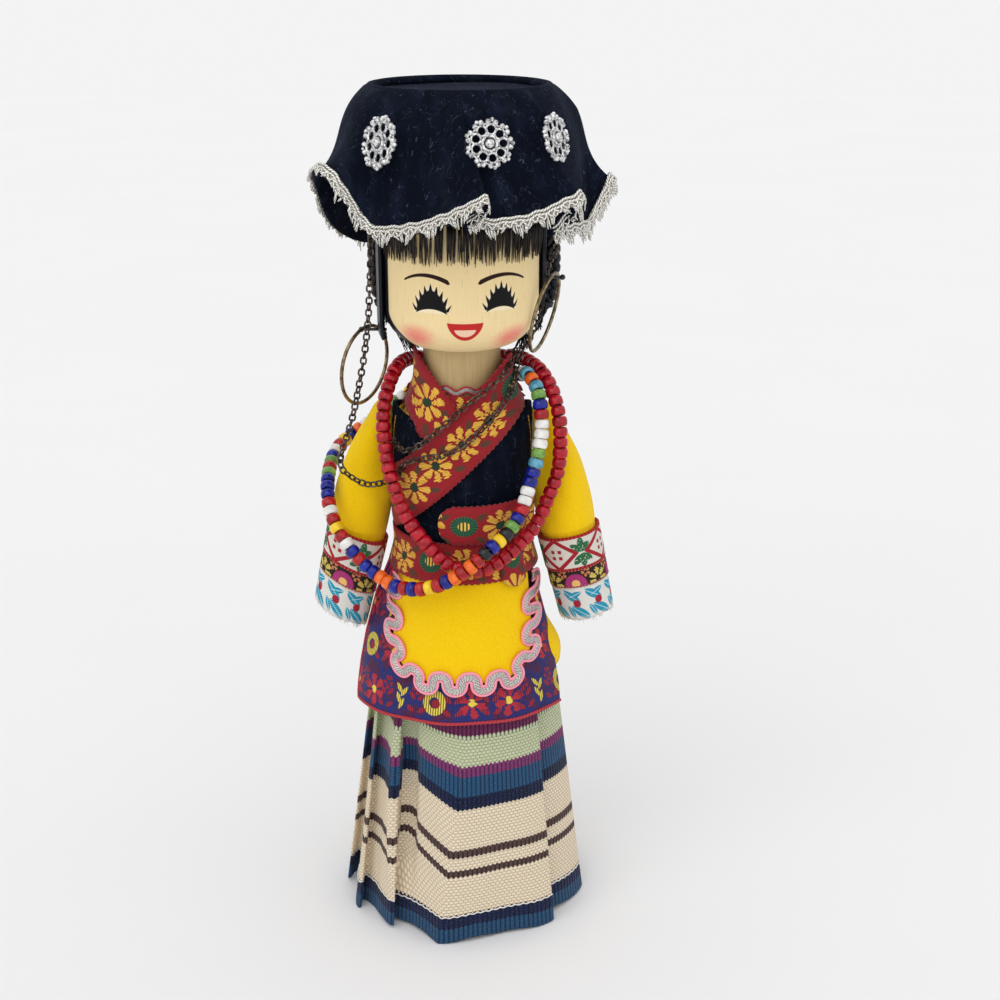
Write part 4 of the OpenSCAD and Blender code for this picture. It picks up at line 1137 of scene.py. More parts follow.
def belts():
    full = math.pi * WAIST_R
    line, across = straight((-full, 87.7), (full, 87.7))
    obj = ribbon("belt", line, across, on_form(3.5), 8.6, 0.6, closed=True, start=-0.7)
    dress(obj, "torso", red_ribbon, ["belt"], "red_ribbon")
    line, across = straight((-4.6, 96.6), (18.5, 96.6))
    obj = ribbon("belt_front", line, across, on_form(4.3), 8.6, 0.6, ends=round_end(True, False, 3.9),
                 start=-1.5)
    dress(obj, "torso", red_ribbon, ["belt_front"], "red_ribbon")
    line, across = straight((11.2, 92.0), (11.2, 81.8))
    obj = ribbon("belt_tab", line, across, on_form(4.3), 6.0, 0.6, ends=round_end(False, True, 3.0))
    dress(obj, "torso", red_ribbon, ["belt_tab"], "red_ribbon")


def lapels():
    for name, slope, low, high, lift, rise_z, width, start in (
            ("over_lapel", 43, -25, 19.5, 1.5, 0.7, 10.4, 0),
            ("under_lapel", -48, -22, 1.5, 0.7, 0, 9.3, 7.3)):
        way = np.array([math.cos(math.radians(slope)), math.sin(math.radians(slope))])
        middle = np.array([0, 113.2 + rise_z])
        line, across = straight(middle + way * low, middle + way * high)
        obj = ribbon(name, line, across, on_chest(lift), width, 0.55, start=start)
        dress(obj, "torso", red_ribbon, [name], "red_ribbon")


def neck_facing():
    """The inner side of the collar, which shows in the neck opening."""
    angles = np.linspace(-80, 80, 90)
    low = 114.5
    top = 127.3 - 2 * (1 + np.cos(np.radians(angles)))
    z = low + (top - low) * np.linspace(0, 1, 14)[:, None]
    points = on_round(collar_r(z) - 0.15, angles, z)
    places = together(np.radians(angles) * 11 + 10.9, z - 120)
    facing = cloth("neck_facing", points, places, 0.5)
    dress(facing, "torso", red_ribbon, slot="red_ribbon")


def collar_back():
    angles = np.linspace(90, 270, 200)
    z = np.linspace(119, 127.5, 10)[:, None]
    points = on_round(collar_r(z) + 0.7 + 0 * angles, angles, z)
    places = together(lengths_along(points), z - 123.2)
    obj = cloth("collar_back", points, places, 0.55)
    dress(obj, "torso", red_ribbon, ["collar_back"], "red_ribbon")


def gimp(name, line, out, nodes, slot, core, cord_r, spread, cord_finish, closed=False):
    """Wavy braid: a flat silver core with a cord along both of its edges."""
    along = frames_along(line, closed)[0]
    across = np.cross(out, along)
    across /= np.linalg.norm(across, axis=1)[:, None]
    stock = Stock()
    lump = np.sin(np.arange(len(line)) * 1.7) * 0.12
    for share in (-0.66, -0.33, 0, 0.33, 0.66):
        weave = 0.08 * np.cos(np.arange(len(line)) * 2.2 + share * 9)
        strand = line + across * (core * share) + out * weave[:, None]
        stock.tube(strand, core * 0.24 * (1 + lump), 6, closed=closed)
    dress(stock.make(name + "_core"), "torso", gimp_core, slot=slot)
    stock = Stock()
    for way in (-1, 1):
        stock.tube(line + across * way * spread, cord_r, 8, closed=closed)
    dress(stock.make(name + "_cord"), "torso", cord_finish, nodes, slot)


def collar_trim():
    turn = np.linspace(0, 360, 420, endpoint=False)
    wave = np.sin(np.radians(turn * 13))
    z = 127.5 - 2 * (1 + np.cos(np.radians(turn))) + 0.45 + 0.42 * wave
    line = on_round(np.full_like(turn, 9.02), turn, z)
    out = on_round(1, turn, 0)
    gimp("collar_trim", line, out, ["collar_trim"], "red_cord", 0.42, 0.2, 0.55, red_cord, closed=True)


# Apron

PANEL_LOW, PANEL_TOP, PANEL_HALF, PANEL_CORNER = 62.5, 90, 15.2, 7.5


def panel_half(z):
    """Half width of the panel by height, with rounded lower corners."""
    top_half = 13.6
    slant = np.clip((PANEL_TOP - z) / (PANEL_TOP - PANEL_LOW - PANEL_CORNER), 0, 1)
    wide = top_half + (PANEL_HALF - top_half) * slant
    t = np.clip(1 - (z - PANEL_LOW) / PANEL_CORNER, 0, 1)
    return wide - PANEL_CORNER * (1 - np.sqrt(np.maximum(1 - t * t, 0)))


def apron_panel():
    z = PANEL_LOW + (PANEL_TOP - PANEL_LOW) * np.linspace(0, 1, 60) ** 1.15
    half = panel_half(z)
    r = form_r(z) + 2.7
    left = np.degrees(np.arcsin(np.clip(-half / r, -0.995, 0.995)))
    right = np.degrees(np.arcsin(np.clip(half / r, -0.995, 0.995)))
    angle = left[:, None] + (right - left)[:, None] * np.linspace(0, 1, 110)
    points = on_round(r[:, None], angle, z[:, None])
    places = together(np.radians(angle) * r[:, None], z[:, None] - PANEL_LOW)
    obj = cloth("apron_panel", points, places, 0.75)
    dress(obj, "torso", felt, ["apron_panel"], "yellow_felt")


def apron_border():
    """Brocade round the front and the sides. Its left edge stands away from the tunic."""
    share = np.linspace(0, 1, 150)
    level = np.linspace(0, 1, 60)[:, None] ** 1.1
    left = between(level, [(0, -79), (0.1, -82), (1, -84)])
    right = between(level, [(0, 66), (0.1, 70), (0.5, 80), (1, 84)])
    angle = left + (right - left) * share
    low = 53.8 - np.where(angle < 0, 2.6 * (angle / 82) ** 2, 0.9 * (angle / 70) ** 2)
    low = low + 0.12 * np.sin(np.radians(angle * 9))
    z = low + (PANEL_TOP - low) * level
    flare = between(z, [(50, 0.5), (60, 1.9), (67, 2.5), (76, 2.6), (86, 1.4), (90, 0.6)])
    r = form_r(z) + 1.7 + flare * np.exp(-((angle + 84) / 26) ** 2) + 0.4 * np.exp(-((angle - 80) / 20) ** 2)
    points = on_round(r, angle, z)
    places = together(np.radians(angle) * 23, z - low)
    obj = cloth("apron_border", points, places, 0.55)
    dress(obj, "torso", brocade, ["apron_border"], "blue_brocade")
    stock = Stock()
    stock.tube(even_line(points[0], 0.3) + [0, 0, -0.1], 0.36, 8)
    stock.tube(even_line(points[:, 0], 0.3), 0.3, 8)
    dress(stock.make("border_edging"), "torso", red_cord, slot="blue_brocade")


def apron_trim():
    """The wavy trim down both sides of the panel and round its foot."""
    corner, low, half, top = PANEL_CORNER, PANEL_LOW, PANEL_HALF, 81.6
    edge = [(-half, top - k) for k in np.linspace(0, top - low - corner, 14)]
    edge += [(corner - half - corner * math.cos(a), low + corner - corner * math.sin(a))
             for a in np.linspace(0, math.pi / 2, 14)[1:]]
    edge += [(x, low) for x in np.linspace(corner - half, 0, 10)[1:]]
    edge += [(-x, z) for x, z in edge[-2::-1]]
    flat = even_line(np.array(edge), 0.2)
    runs = run_of(flat)
    way = np.gradient(flat, axis=0)
    way /= np.linalg.norm(way, axis=1)[:, None]
    beside = np.column_stack([way[:, 1], -way[:, 0]])
    waves = 10
    phase = 2 * math.pi * waves * runs / runs[-1]
    flat = flat - beside * (1.45 * np.sin(phase))[:, None] - way * (0.42 * np.sin(2 * phase))[:, None]
    panel_out, trim_out = 2.8, 0.35
    r = form_r(flat[:, 1]) + panel_out + trim_out
    angle = np.degrees(np.arcsin(np.clip(flat[:, 0] / r, -0.99, 0.99)))
    line = on_round(r, angle, flat[:, 1])
    gimp("apron_wave_trim", line, on_round(1, angle, 0), ["apron_wave_trim"], "pink_gimp", 0.86, 0.32, 1.06,
         pink_cord)


# Beads and chains

RED_ROUTE = [
    (-13.5, 1, 127.3), (-15.5, -3.5, 124), (-16.5, -7, 119.5), (-16.5, -9, 115), (-15.8, -10.5, 110),
    (-14.6, -13, 105.5), (-12.5, -14.6, 100), (-10, -16, 96), (-7.5, -17.2, 93), (-4.5, -18, 90),
    (-1.5, -18.3, 88), (4, -18.2, 87.3), (9, -16.6, 89.6), (12.5, -14, 92), (16, -11.5, 95.5),
    (18.5, -10, 101), (20.5, -9.2, 106.5), (21, -8.5, 113), (20.5, -7, 119), (19, -4, 123.5),
    (17, -1, 126.3), (14.5, 3.5, 127.2), (11, 8.5, 127.2), (0, 13, 126), (-10, 8.5, 127),
]
MIXED_ROUTE = [
    (13.9, -2.8, 126.2), (15.8, -5.9, 124.2), (16.6, -8, 121), (17, -9.6, 116.5), (16.2, -11.5, 111),
    (14.7, -13, 106), (13.6, -14.4, 102.4), (12.2, -16.2, 99), (9.4, -18.6, 95.6), (5.8, -21, 93),
    (2.6, -22.2, 90.2), (-1.5, -22.2, 87.2), (-5, -21.4, 85.2), (-9, -20, 83.8), (-14, -17.5, 83.4),
    (-17.6, -15.2, 84.8), (-20.8, -13.6, 86.8), (-24.2, -12.4, 90.4), (-27, -10, 94.2), (-28.8, -6.5, 98),
    (-29.4, -2.6, 101.4), (-29.3, 3.4, 103.8), (-28.4, 8.8, 105.8), (-25.2, 13, 108), (-20, 14.6, 111.4),
    (-13.4, 14.8, 116.4), (-6.6, 15.2, 120.6), (0, 15.5, 122), (7.5, 13.5, 122.8), (11.8, 7.5, 123.6),
    (12.6, 2, 124.8),
]

# The mixed beads' colours along their route, by the letters that strings() gives them
MIXED_ORDER = "totgbrwwwgtbbwwrbgkybkrorobryrbrboobbrbwryrwrbbbgr" + "gbwrybowtrbgwyrbwrbgyorbtwbrgybw"


def bead_shape(d, l):
    """A ring bead: a ring drawn out to a barrel with soft edges."""
    hole, square = 1.2, 2.6
    middle, wall = (d + hole) / 4, (d - hole) / 4
    points, faces = shape_of(add_ring(middle, wall, 20, 10))
    flat = np.hypot(points[:, 0], points[:, 1])
    a, b = (flat - middle) / wall, points[:, 2] / wall
    grow = 1 / np.maximum((abs(a) ** square + abs(b) ** square) ** (1 / square), 1e-6)
    new_flat = middle + a * grow * wall
    points[:, :2] *= (new_flat / flat)[:, None]
    points[:, 2] = b * grow * l / 2
    return points, faces


def turned_to(way, spin=0.0):
    turn = Vector((0, 0, 1)).rotation_difference(Vector(way)).to_matrix()
    return np.array(turn @ Matrix.Rotation(spin, 3, "Z"))


def string_beads(route, d, l, full, picks):
    """Beads at even steps along a closed route. picks has a node, a glass and an order for each letter."""
    loop = smooth_line(route, 3, closed=True)
    loop = np.vstack([loop, loop[:1]])
    runs = run_of(loop)
    total = runs[-1]
    gap = 0.25
    count = int(total // (l + gap))
    pitch = total / count
    points, faces = bead_shape(d, l)
    for letter, (name, tone, order) in picks.items():
        stock = Stock()
        for i in range(count):
            if order[i % len(order)] != letter:
                continue
            s = i * pitch
            way = place_on(loop, runs, (s + l / 2) % total) - place_on(loop, runs, (s - l / 2) % total)
            grow = np.array([full, full, 1.08]) * dice.uniform(0.96, 1.03)
            copy = (points * grow) @ turned_to(way, dice.uniform(0, 6.28)).T + place_on(loop, runs, s)
            stock.mesh(copy, faces)
        obj = stock.make(name)
        dress(obj, "torso", glass[tone], [name], tone + "_glass")


def strings():
    string_beads(RED_ROUTE, 3.0, 1.95, 1.08, {"r": ("red_beads", "red", "r")})
    tones = {"b": "blue", "r": "scarlet", "w": "white", "o": "orange", "y": "yellow", "g": "green",
             "t": "turquoise", "k": "black"}
    picks = {}
    for letter, tone in tones.items():
        word = "red" if tone == "scarlet" else tone
        picks[letter] = ("mixed_" + word + "_beads", tone, MIXED_ORDER)
    string_beads(MIXED_ROUTE, 2.9, 1.8, 1.1, picks)
    for route, name in ((RED_ROUTE, "red_bead_thread"), (MIXED_ROUTE, "mixed_bead_thread")):
        stock = Stock()
        stock.tube(even_line(smooth_line(route, 6, closed=True), 0.5, closed=True), 0.28, 8, closed=True)
        dress(stock.make(name), "torso", thread, [name], "bead_thread")


CHAINS = {
    "left_drop_chain": [
        (-18, -8, 157), (-18.5, -8.4, 148), (-19, -9, 140), (-20, -9.8, 132), (-21.8, -10.2, 123),
        (-23.3, -9.9, 117), (-25, -8.7, 112), (-25.8, -8, 109.3)],
    "lower_chest_chain": [
        (-25.8, -8, 108.8), (-25.2, -8.6, 106.4), (-20, -10, 103.8), (-14.4, -10.2, 105.4),
        (-11.6, -13.2, 109.6), (-7.3, -15.8, 111.5), (-2.4, -17.2, 113), (2.3, -16.6, 116),
        (6.3, -13.8, 119.5), (9.6, -9.6, 122.6), (11.3, -4.5, 125.4), (11.8, -0.5, 128), (12.8, 1, 130.5)],
    "upper_chest_chain": [
        (-14.6, -7.2, 112.8), (-12.1, -13.2, 112.4), (-9, -15.7, 114), (-5.1, -16.1, 117.2),
        (-1.6, -15.1, 120), (0.8, -14.1, 122), (4.5, -12.1, 124.5), (7.9, -10.2, 126.8),
        (10.2, -5.6, 128.9), (10.9, -1.5, 129.9), (11.3, 0.3, 130.6)],
    "right_drop_chain": [
        (19.4, -6, 157), (19.8, -3, 152.5), (19, 3, 149.8), (18.2, 7, 146), (17.4, 8, 141), (16.6, 8, 136.5),
        (15, 5.5, 132.6), (13.3, 1.8, 131)],
}
LINK_PITCH, LINK_LEAN = 1.24, 38


def link_shape():
    """One oval link, drawn out from a ring."""
    length, width, wire = 1.95, 1.6, 0.21
    ring = add_ring(width / 2 - wire, wire, 14, 6)
    bpy.ops.object.mode_set(mode="EDIT")
    bpy.ops.mesh.select_all(action="DESELECT")
    bpy.ops.object.mode_set(mode="OBJECT")
    for v in ring.data.vertices:
        v.select = v.co.x > 0
    bpy.ops.object.mode_set(mode="EDIT")
    bpy.ops.transform.translate(value=((length - width) / 2 * mm, 0, 0))
    bpy.ops.mesh.select_all(action="INVERT")
    bpy.ops.transform.translate(value=((width - length) / 2 * mm, 0, 0))
    bpy.ops.object.mode_set(mode="OBJECT")
    return shape_of(ring)


def chains():
    points, faces = link_shape()
    for name, route in CHAINS.items():
        line = even_line(smooth_line(route, 8), LINK_PITCH)
        along, side, up = frames_along(line)
        stock = Stock()
        for i in range(len(line)):
            lean = math.radians(LINK_LEAN if i % 2 else -LINK_LEAN) + dice.uniform(-0.3, 0.3)
            across = math.cos(lean) * side[i] + math.sin(lean) * up[i]
            turn = np.column_stack([along[i], across, np.cross(along[i], across)])
            stock.mesh(points @ turn.T + line[i], faces)
        obj = stock.make(name)
        if name.endswith("drop_chain"):
            obj.data.materials.append(bronze)
            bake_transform(obj)
            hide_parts(name)
        else:
            dress(obj, "torso", bronze, [name], "dark_bronze")


HEAD_Z = 132.5
EAR_H = {"left": 2.4, "right": 13.6}
HOOP_R, HOOP_WIRE = 8.5, 0.4
PIN_R, PIN_GAP = 0.6, 0.06


def hoops():
    for word, side, lean, turn, out in (("left", -1, 6, -30, 2.9), ("right", 1, 13, -18, -0.3)):
        name = word + "_earring"
        ring = add_ring(HOOP_R, HOOP_WIRE, 96, 12)
        ring.name = name + "_ring"
        top = HEAD_Z + EAR_H[word] + PIN_R + PIN_GAP + HOOP_WIRE
        middle = Vector((side * (17.9 + out), 0, top - HOOP_R * math.cos(math.radians(lean)))) * mm
        place = (Matrix.Translation(middle) @ Matrix.Rotation(math.radians(turn), 4, "Z")
                 @ Matrix.Rotation(math.radians(90 + lean), 4, "Y"))
        ring.data.transform(place)
        bpy.ops.object.shade_smooth()
        dress(ring, name, brass, [name], "aged_brass")


def ear_pins():
    """A wire from the hair out to each hoop, with a small bead on its end."""
    for word, side in (("left", -1), ("right", 1)):
        name = word + "_ear_pin"
        high = HEAD_Z + EAR_H[word] + 0.3
        select_none()
        bpy.ops.mesh.primitive_cylinder_add(vertices=16, radius=0.32 * mm, depth=5.4 * mm)
        wire = shape_of(bpy.context.object)
        bead = shape_of(add_ball(PIN_R, 16, 10))
        stock = Stock()
        stock.mesh(wire[0][:, [2, 1, 0]] * [side, 1, -side] + [side * 18.6, 0, high], wire[1])
        stock.mesh(bead[0] + [side * 21.3, 0, high], bead[1])
        dress(stock.make(name + "_wire"), "head", black_pin, [name], "black_pin")


# Hair

HAIR_R = 17.75
HAIR_TOP = 160


def hair_shell():
    angles = np.linspace(86, 288, 420)
    noise = np.array([dice.uniform(-1, 1) for _ in angles])
    fine = np.convolve(noise, [0.25, 0.5, 0.25], "same")
    broad = np.convolve(noise, np.hanning(25) / 6, "same")
    low = np.where(angles > 264, 133.6, 139.6) + np.abs(fine) * 0.5 + np.clip(broad, 0, 1) * 0.5
    low = np.convolve(np.pad(low, 3, "edge"), np.ones(7) / 7, "valid")
    low += 2.2 * np.clip((angles - 283) / 5, 0, 1) ** 2
    share = np.linspace(0, 1, 20)[:, None]
    z = low + (HAIR_TOP - low) * share
    tuck = 0.7 * np.exp(-(z - low) / 0.9)
    r = HAIR_R + 0.1 * fine + 0.12 * broad - tuck
    points = on_round(r, angles, z)
    places = together(np.radians(angles) * 17.5, z)
    obj = cloth("hair_shell", points, places, 1.15)
    dress(obj, "head", hair, ["hair_shell"], "black_hair")


def hair_fringe():
    """Cut strands over the brow, in clumps with gaps between."""
    stock = Stock()
    strands = 270
    for k in range(strands):
        angle = -70 + 154 * (k + dice.uniform(-0.4, 0.4)) / strands
        if math.sin(k * 0.9) + math.sin(k * 0.37) > 0.9 or dice.random() < 0.1:
            continue
        end = 151.8 + dice.uniform(-0.2, 1.5) + (1.5 if dice.random() < 0.12 else 0)
        r = 16.62 + dice.uniform(0, 0.42)
        lean = dice.uniform(-1.6, 1.6)
        z = np.array([160.2, 157.5, 155.2, end])
        swing = angle + lean * np.array([0, 0.25, 0.6, 1])
        line = on_round(np.array([r, r + 0.06, r, r - 0.08]), swing, z)
        stock.tube(line, np.array([0.18, 0.18, 0.15, 0.07]), 4)
    dress(stock.make("hair_fringe"), "head", fibre, ["hair_fringe"], "black_hair")


def loose_hairs():
    """Ends of hair that hang out below the cap behind the ears."""
    stock = Stock()
    for k in range(110):
        side = -1 if k < 70 else 1
        spread = [dice.uniform(-1.4, 1.4), dice.uniform(-1, 1), 0]
        start = np.array([side * 14.4, 10.4, 137]) + spread
        tip = np.array([side * (11.0 if side < 0 else 12.6), 7.8, 130])
        tip = tip + [dice.uniform(-1.7, 1.7), dice.uniform(-1, 1), dice.uniform(-2.2, 2.5)]
        bend = start * 0.5 + tip * 0.5 + [side * dice.uniform(0, 1.2), dice.uniform(-0.4, 0.8), 0]
        stock.tube(smooth_line([start, bend, tip], 3), np.linspace(0.24, 0.08, 7), 4)
    dress(stock.make("loose_hairs"), "head", fibre, slot="black_hair")


BRAIDS = {
    "left_braid": [(-18.2, 9.8, 158), (-18.6, 10.2, 150), (-18.2, 10.6, 142), (-16.6, 11, 135.5)],
    "right_braid": [(18.4, 10.6, 158), (19.4, 11.2, 150), (19.0, 11.6, 142), (16.8, 11.8, 134)],
}


def braids():
    for name, route in BRAIDS.items():
        line = even_line(smooth_line(route, 10), 0.3)
        _, side, up = frames_along(line, first=(1, 0, 0))
        runs = run_of(line)
        taper = np.clip((runs[-1] - runs) / 6, 0.35, 1)
        stock = Stock()
        for k in range(3):
            phase = 2 * math.pi * (runs / 6.2 + k / 3)
            strand = (line + side * (0.95 * taper * np.sin(phase))[:, None]
                      + up * (0.45 * taper * np.sin(2 * phase))[:, None])
            stock.tube(strand, 0.98 * taper, 10)
        for _ in range(14):
            tip = line[-1] + [dice.uniform(-0.7, 0.7), dice.uniform(-0.7, 0.7), -dice.uniform(0.6, 2.0)]
            end = smooth_line([line[-4], line[-1] * 0.5 + tip * 0.5, tip], 2)
            stock.tube(end, [0.2, 0.18, 0.14, 0.1, 0.05], 4)
        dress(stock.make(name), "head", hair, [name], "black_hair")


def braid_ties():
    """Thread wound round each braid near its end, with a loose tail."""
    stock = Stock()
    for route in BRAIDS.values():
        line = smooth_line(route[1:], 10)
        at = len(line) * 70 // 100
        turn = turned_to(line[at + 1] - line[at])
        tie_r, turns = 1.55, 4
        wind = np.linspace(0, 2 * math.pi * turns, 80)
        coil = np.column_stack([tie_r * np.cos(wind), tie_r * np.sin(wind), np.linspace(-0.5, 0.5, 80)])
        stock.tube(coil @ turn.T + line[at], 0.2, 6)
        knot = line[at] + turn @ np.array([1.6, 0, 0])
        stock.tube(smooth_line([knot, knot + [1.0, -0.6, 0.3], knot + [2.6, -0.8, 0.1]], 4), 0.24, 6)
    dress(stock.make("braid_ties"), "head", tie_thread, ["braid_ties"], "tie_thread")


# Hat

HAT_TOP, HEM_Z, HEM_LIFT, HEM_FLARE = 186.3, 156.5, 10.5, 5.4

# Angles round the left from the back to the front, with how far the hem stands up and out there
HAT_LEFT = [
    (-132, -0.38, 0.42), (-124, -0.34, 0.56), (-117, -0.2, 0.66), (-110, -0.02, 0.72), (-104, 0.2, 0.76),
    (-99, 0.45, 0.78), (-95, 0.72, 0.8), (-91, 0.96, 0.82), (-86, 1.1, 0.84), (-80, 1.16, 0.87),
    (-74, 1.2, 0.94), (-67, 1.3, 1.1), (-60, 1.4, 1.28), (-54, 1.42, 1.36), (-50, 1.38, 1.36),
    (-47, 1.22, 1.22), (-45, 1.04, 1.04), (-43, 0.78, 0.78), (-41, 0.54, 0.54), (-38.5, 0.4, 0.4),
    (-35, 0.36, 0.36), (-30, 0.38, 0.38), (-24, 0.42, 0.42), (-14, 0.52, 0.52), (-5, 0.67, 0.67)]


def hat_fold(edge, before, top, under):
    """Columns of one fold: the flap's edge, and the cloth that goes back under it."""
    turn = [(-0.8, 0.2, 1.0, 1.0), (0.2, 1.0, 0.84, 0.8), (1.0, -0.6, 0.5, 0.45), (2.0, -4.4, 0.2, 0.2),
            (3.0, -6.0, 0.04, 0.05), (4.0, -4.6, 0.0, 0.0), (5.4, 0.5, 0.0, 0.0), (8, 8, 0.0, 0.0)]
    ahead = [(edge + a, edge + a, k, k, c) for a, k, c in before]
    return ahead + [(edge + a, edge + b) + (under + (top - under) * k,) * 2 + (c,) for a, b, k, c in turn]


def hat_path():
    """Columns round the hat: free angle, folded angle, how far the hem stands up and out, and the crease."""
    plain = [(-14, 0.2, 0.1), (-8, 0.38, 0.4), (-3, 0.75, 0.9)]
    path = [(-178, -178, 0.2, 0.2, 0.0)] + hat_fold(-150, plain, 1.0, 0.1)
    path += [(a, a, up, out, 0.0) for a, up, out in HAT_LEFT]
    path += hat_fold(10, [(-8, 0.82, 0.4), (-3, 0.96, 0.9)], 1.03, 0.57)
    path += hat_fold(50, [(-22, 0.61, 0.0), (-14, 0.71, 0.1), (-7, 0.83, 0.4), (-3, 0.9, 0.9)], 0.96, 0.27)
    path += [(72, 72, 0.25, 0.25, 0.0)] + hat_fold(95, plain, 1.0, 0.15)
    path += [(118, 118, 0.15, 0.15, 0.0)] + hat_fold(150, plain, 1.0, 0.15)
    return path


def crown_side(t):
    return 18.6 + 6 * (1 - (1 - t) ** 4)


def hat():
    """Makes the hat, and gives how far its hem stands up at each free angle."""
    free, folded, stand, out, crease = round_path(hat_path(), 5).T
    t = np.concatenate([np.linspace(0.035, 0.3, 9), np.linspace(0.36, 1, 17)])[:, None]
    hem = HEM_Z + HEM_LIFT * stand
    lean = 11 * np.exp(-((free - 6) / 22) ** 2) + 7 * np.exp(-((free - 52) / 16) ** 2)
    angle = free + (folded - free) * np.clip((t - 0.05) / 0.6, 0, 1) - lean * (1 - t) ** 1.2
    r = crown_side(t) + HEM_FLARE * out * t ** 4.4 + 1.0 * crease * np.clip((t - 0.03) / 0.25, 0, 1)
    r = r + 0.18 * np.sin(np.radians(free * 9 + 140 * t)) * t
    z = HAT_TOP + (hem - HAT_TOP) * t
    wall = on_round(r, angle, z)
    down = wall[-1] - wall[-4]
    down /= np.linalg.norm(down, axis=1)[:, None]
    turned = [wall[-1] + down * share for share in (0.7, 1.45)]
    rim = np.array([(17.3, 184.8), (17.35, 185.5), (17.6, 186.0), (18.05, HAT_TOP), (18.55, 186.2),
                    (18.95, 185.85)])
    top = on_round(rim[:, :1], free - lean, rim[:, 1:])
    points = np.concatenate([top, wall, turned])[::-1]
    drop = run_of(points[:, 40])
    places = together(lengths_along(all_round(points)), drop[:, None])
    crown = cloth("hat_crown", points, places, 0.7, round_cols=True)
    dress(crown, "head", velvet, ["hat_crown"], "black_velvet")
    hat_top()
    hat_lace(wall[-1], down, angle[-1])
    return np.array([free, stand])


def hat_top():
    """The round of cloth on top, a little sunk in its middle."""
    angles = np.linspace(-180, 180, 96, endpoint=False)
    top_r = 17.2
    rings = np.concatenate([[0.02, 1], np.linspace(3, top_r, 14)])[:, None]
    sag = 184.75 - 0.25 * np.cos(rings / top_r * math.pi / 2)
    sag = sag + 0.12 * np.sin(np.radians(angles * 3)) * rings / top_r
    disc = on_round(rings, angles, sag)[::-1]
    places = all_round(disc)[..., :2]
    top_piece = cloth("hat_top", disc, places, 0.8, round_cols=True)
    dress(top_piece, "head", velvet, ["hat_top"], "black_velvet")


def hat_lace(low, down, angle):
    """Silver braid along the hem with bunches of loose thread below it."""
    runs = run_of(np.vstack([low, low[:1]]))
    out = on_round(1, angle, 0)
    out -= down * np.sum(out * down, axis=1)[:, None]
    out /= np.linalg.norm(out, axis=1)[:, None]
    steps = np.array([1.5, 1.0, 0.5, 0.0, -0.5])
    band = low[None] + down[None] * steps[:, None, None] + out[None] * 0.55
    band[0] += down * (0.2 * np.sin(runs[:-1] * 3.2))[:, None]
    places = together(runs[None], -steps[:, None])
    stock = Stock()
    stock.grid(band, places, round_cols=True)
    obj = stock.make("hat_lace")
    apply_modifier(obj, "SOLIDIFY", thickness=0.25 * mm, offset=0.0, use_rim=True)
    dress(obj, "head", lace, ["hat_lace"], "silver_lace")
    total = runs[-1]

    def at(s, field):
        loop = np.vstack([field, field[:1]])
        return place_on(loop, runs, s % total)

    stock = Stock()
    s = np.arange(0, total, 0.22)
    for middle, swing, wave, thick in (
            (-0.25, 0.12, 3.4, 0.3), (0.5, 0.16, 3.4, 0.26), (1.15, 0.42, 1.7, 0.22)):
        across = middle + swing * np.sin(2 * math.pi * s / wave) + 0.1 * np.sin(2 * math.pi * s / 5.3)
        stock.tube(at(s, low) + at(s, down) * across[:, None] + at(s, out) * 0.82, thick, 6, closed=True)
    bunches = int(total / 5.6)
    for k in range(bunches):
        middle = (k + dice.uniform(-0.12, 0.12)) * total / bunches
        for _ in range(13):
            share = dice.uniform(-1, 1)
            s1 = middle + share * 2.5
            root = at(s1, low) + at(s1, down) * 1.3 + at(s1, out) * (0.6 + dice.uniform(-0.15, 0.2))
            reach = 0.5 + 1.7 * (1 - abs(share)) ** 0.6 * dice.uniform(0.6, 1.1)
            reach *= 0.55 if at(s1, low)[0] < -22 else 1
            aim = at(s1, down) * 0.7 + np.array([0, 0, -0.5]) + at(s1, out) * dice.uniform(-0.15, 0.35)
            pull = (at(middle, low) - at(s1, low)) * dice.uniform(0.2, 0.55)
            tip = root + aim * reach + pull
            bend = root * 0.5 + tip * 0.5 + at(s1, out) * dice.uniform(0, 0.25) - pull * 0.2
            stock.tube(np.array([root, bend, tip]), np.array([0.2, 0.19, 0.09]), 5)
    dress(stock.make("lace_fringe"), "head", silver_cord, slot="silver_lace")


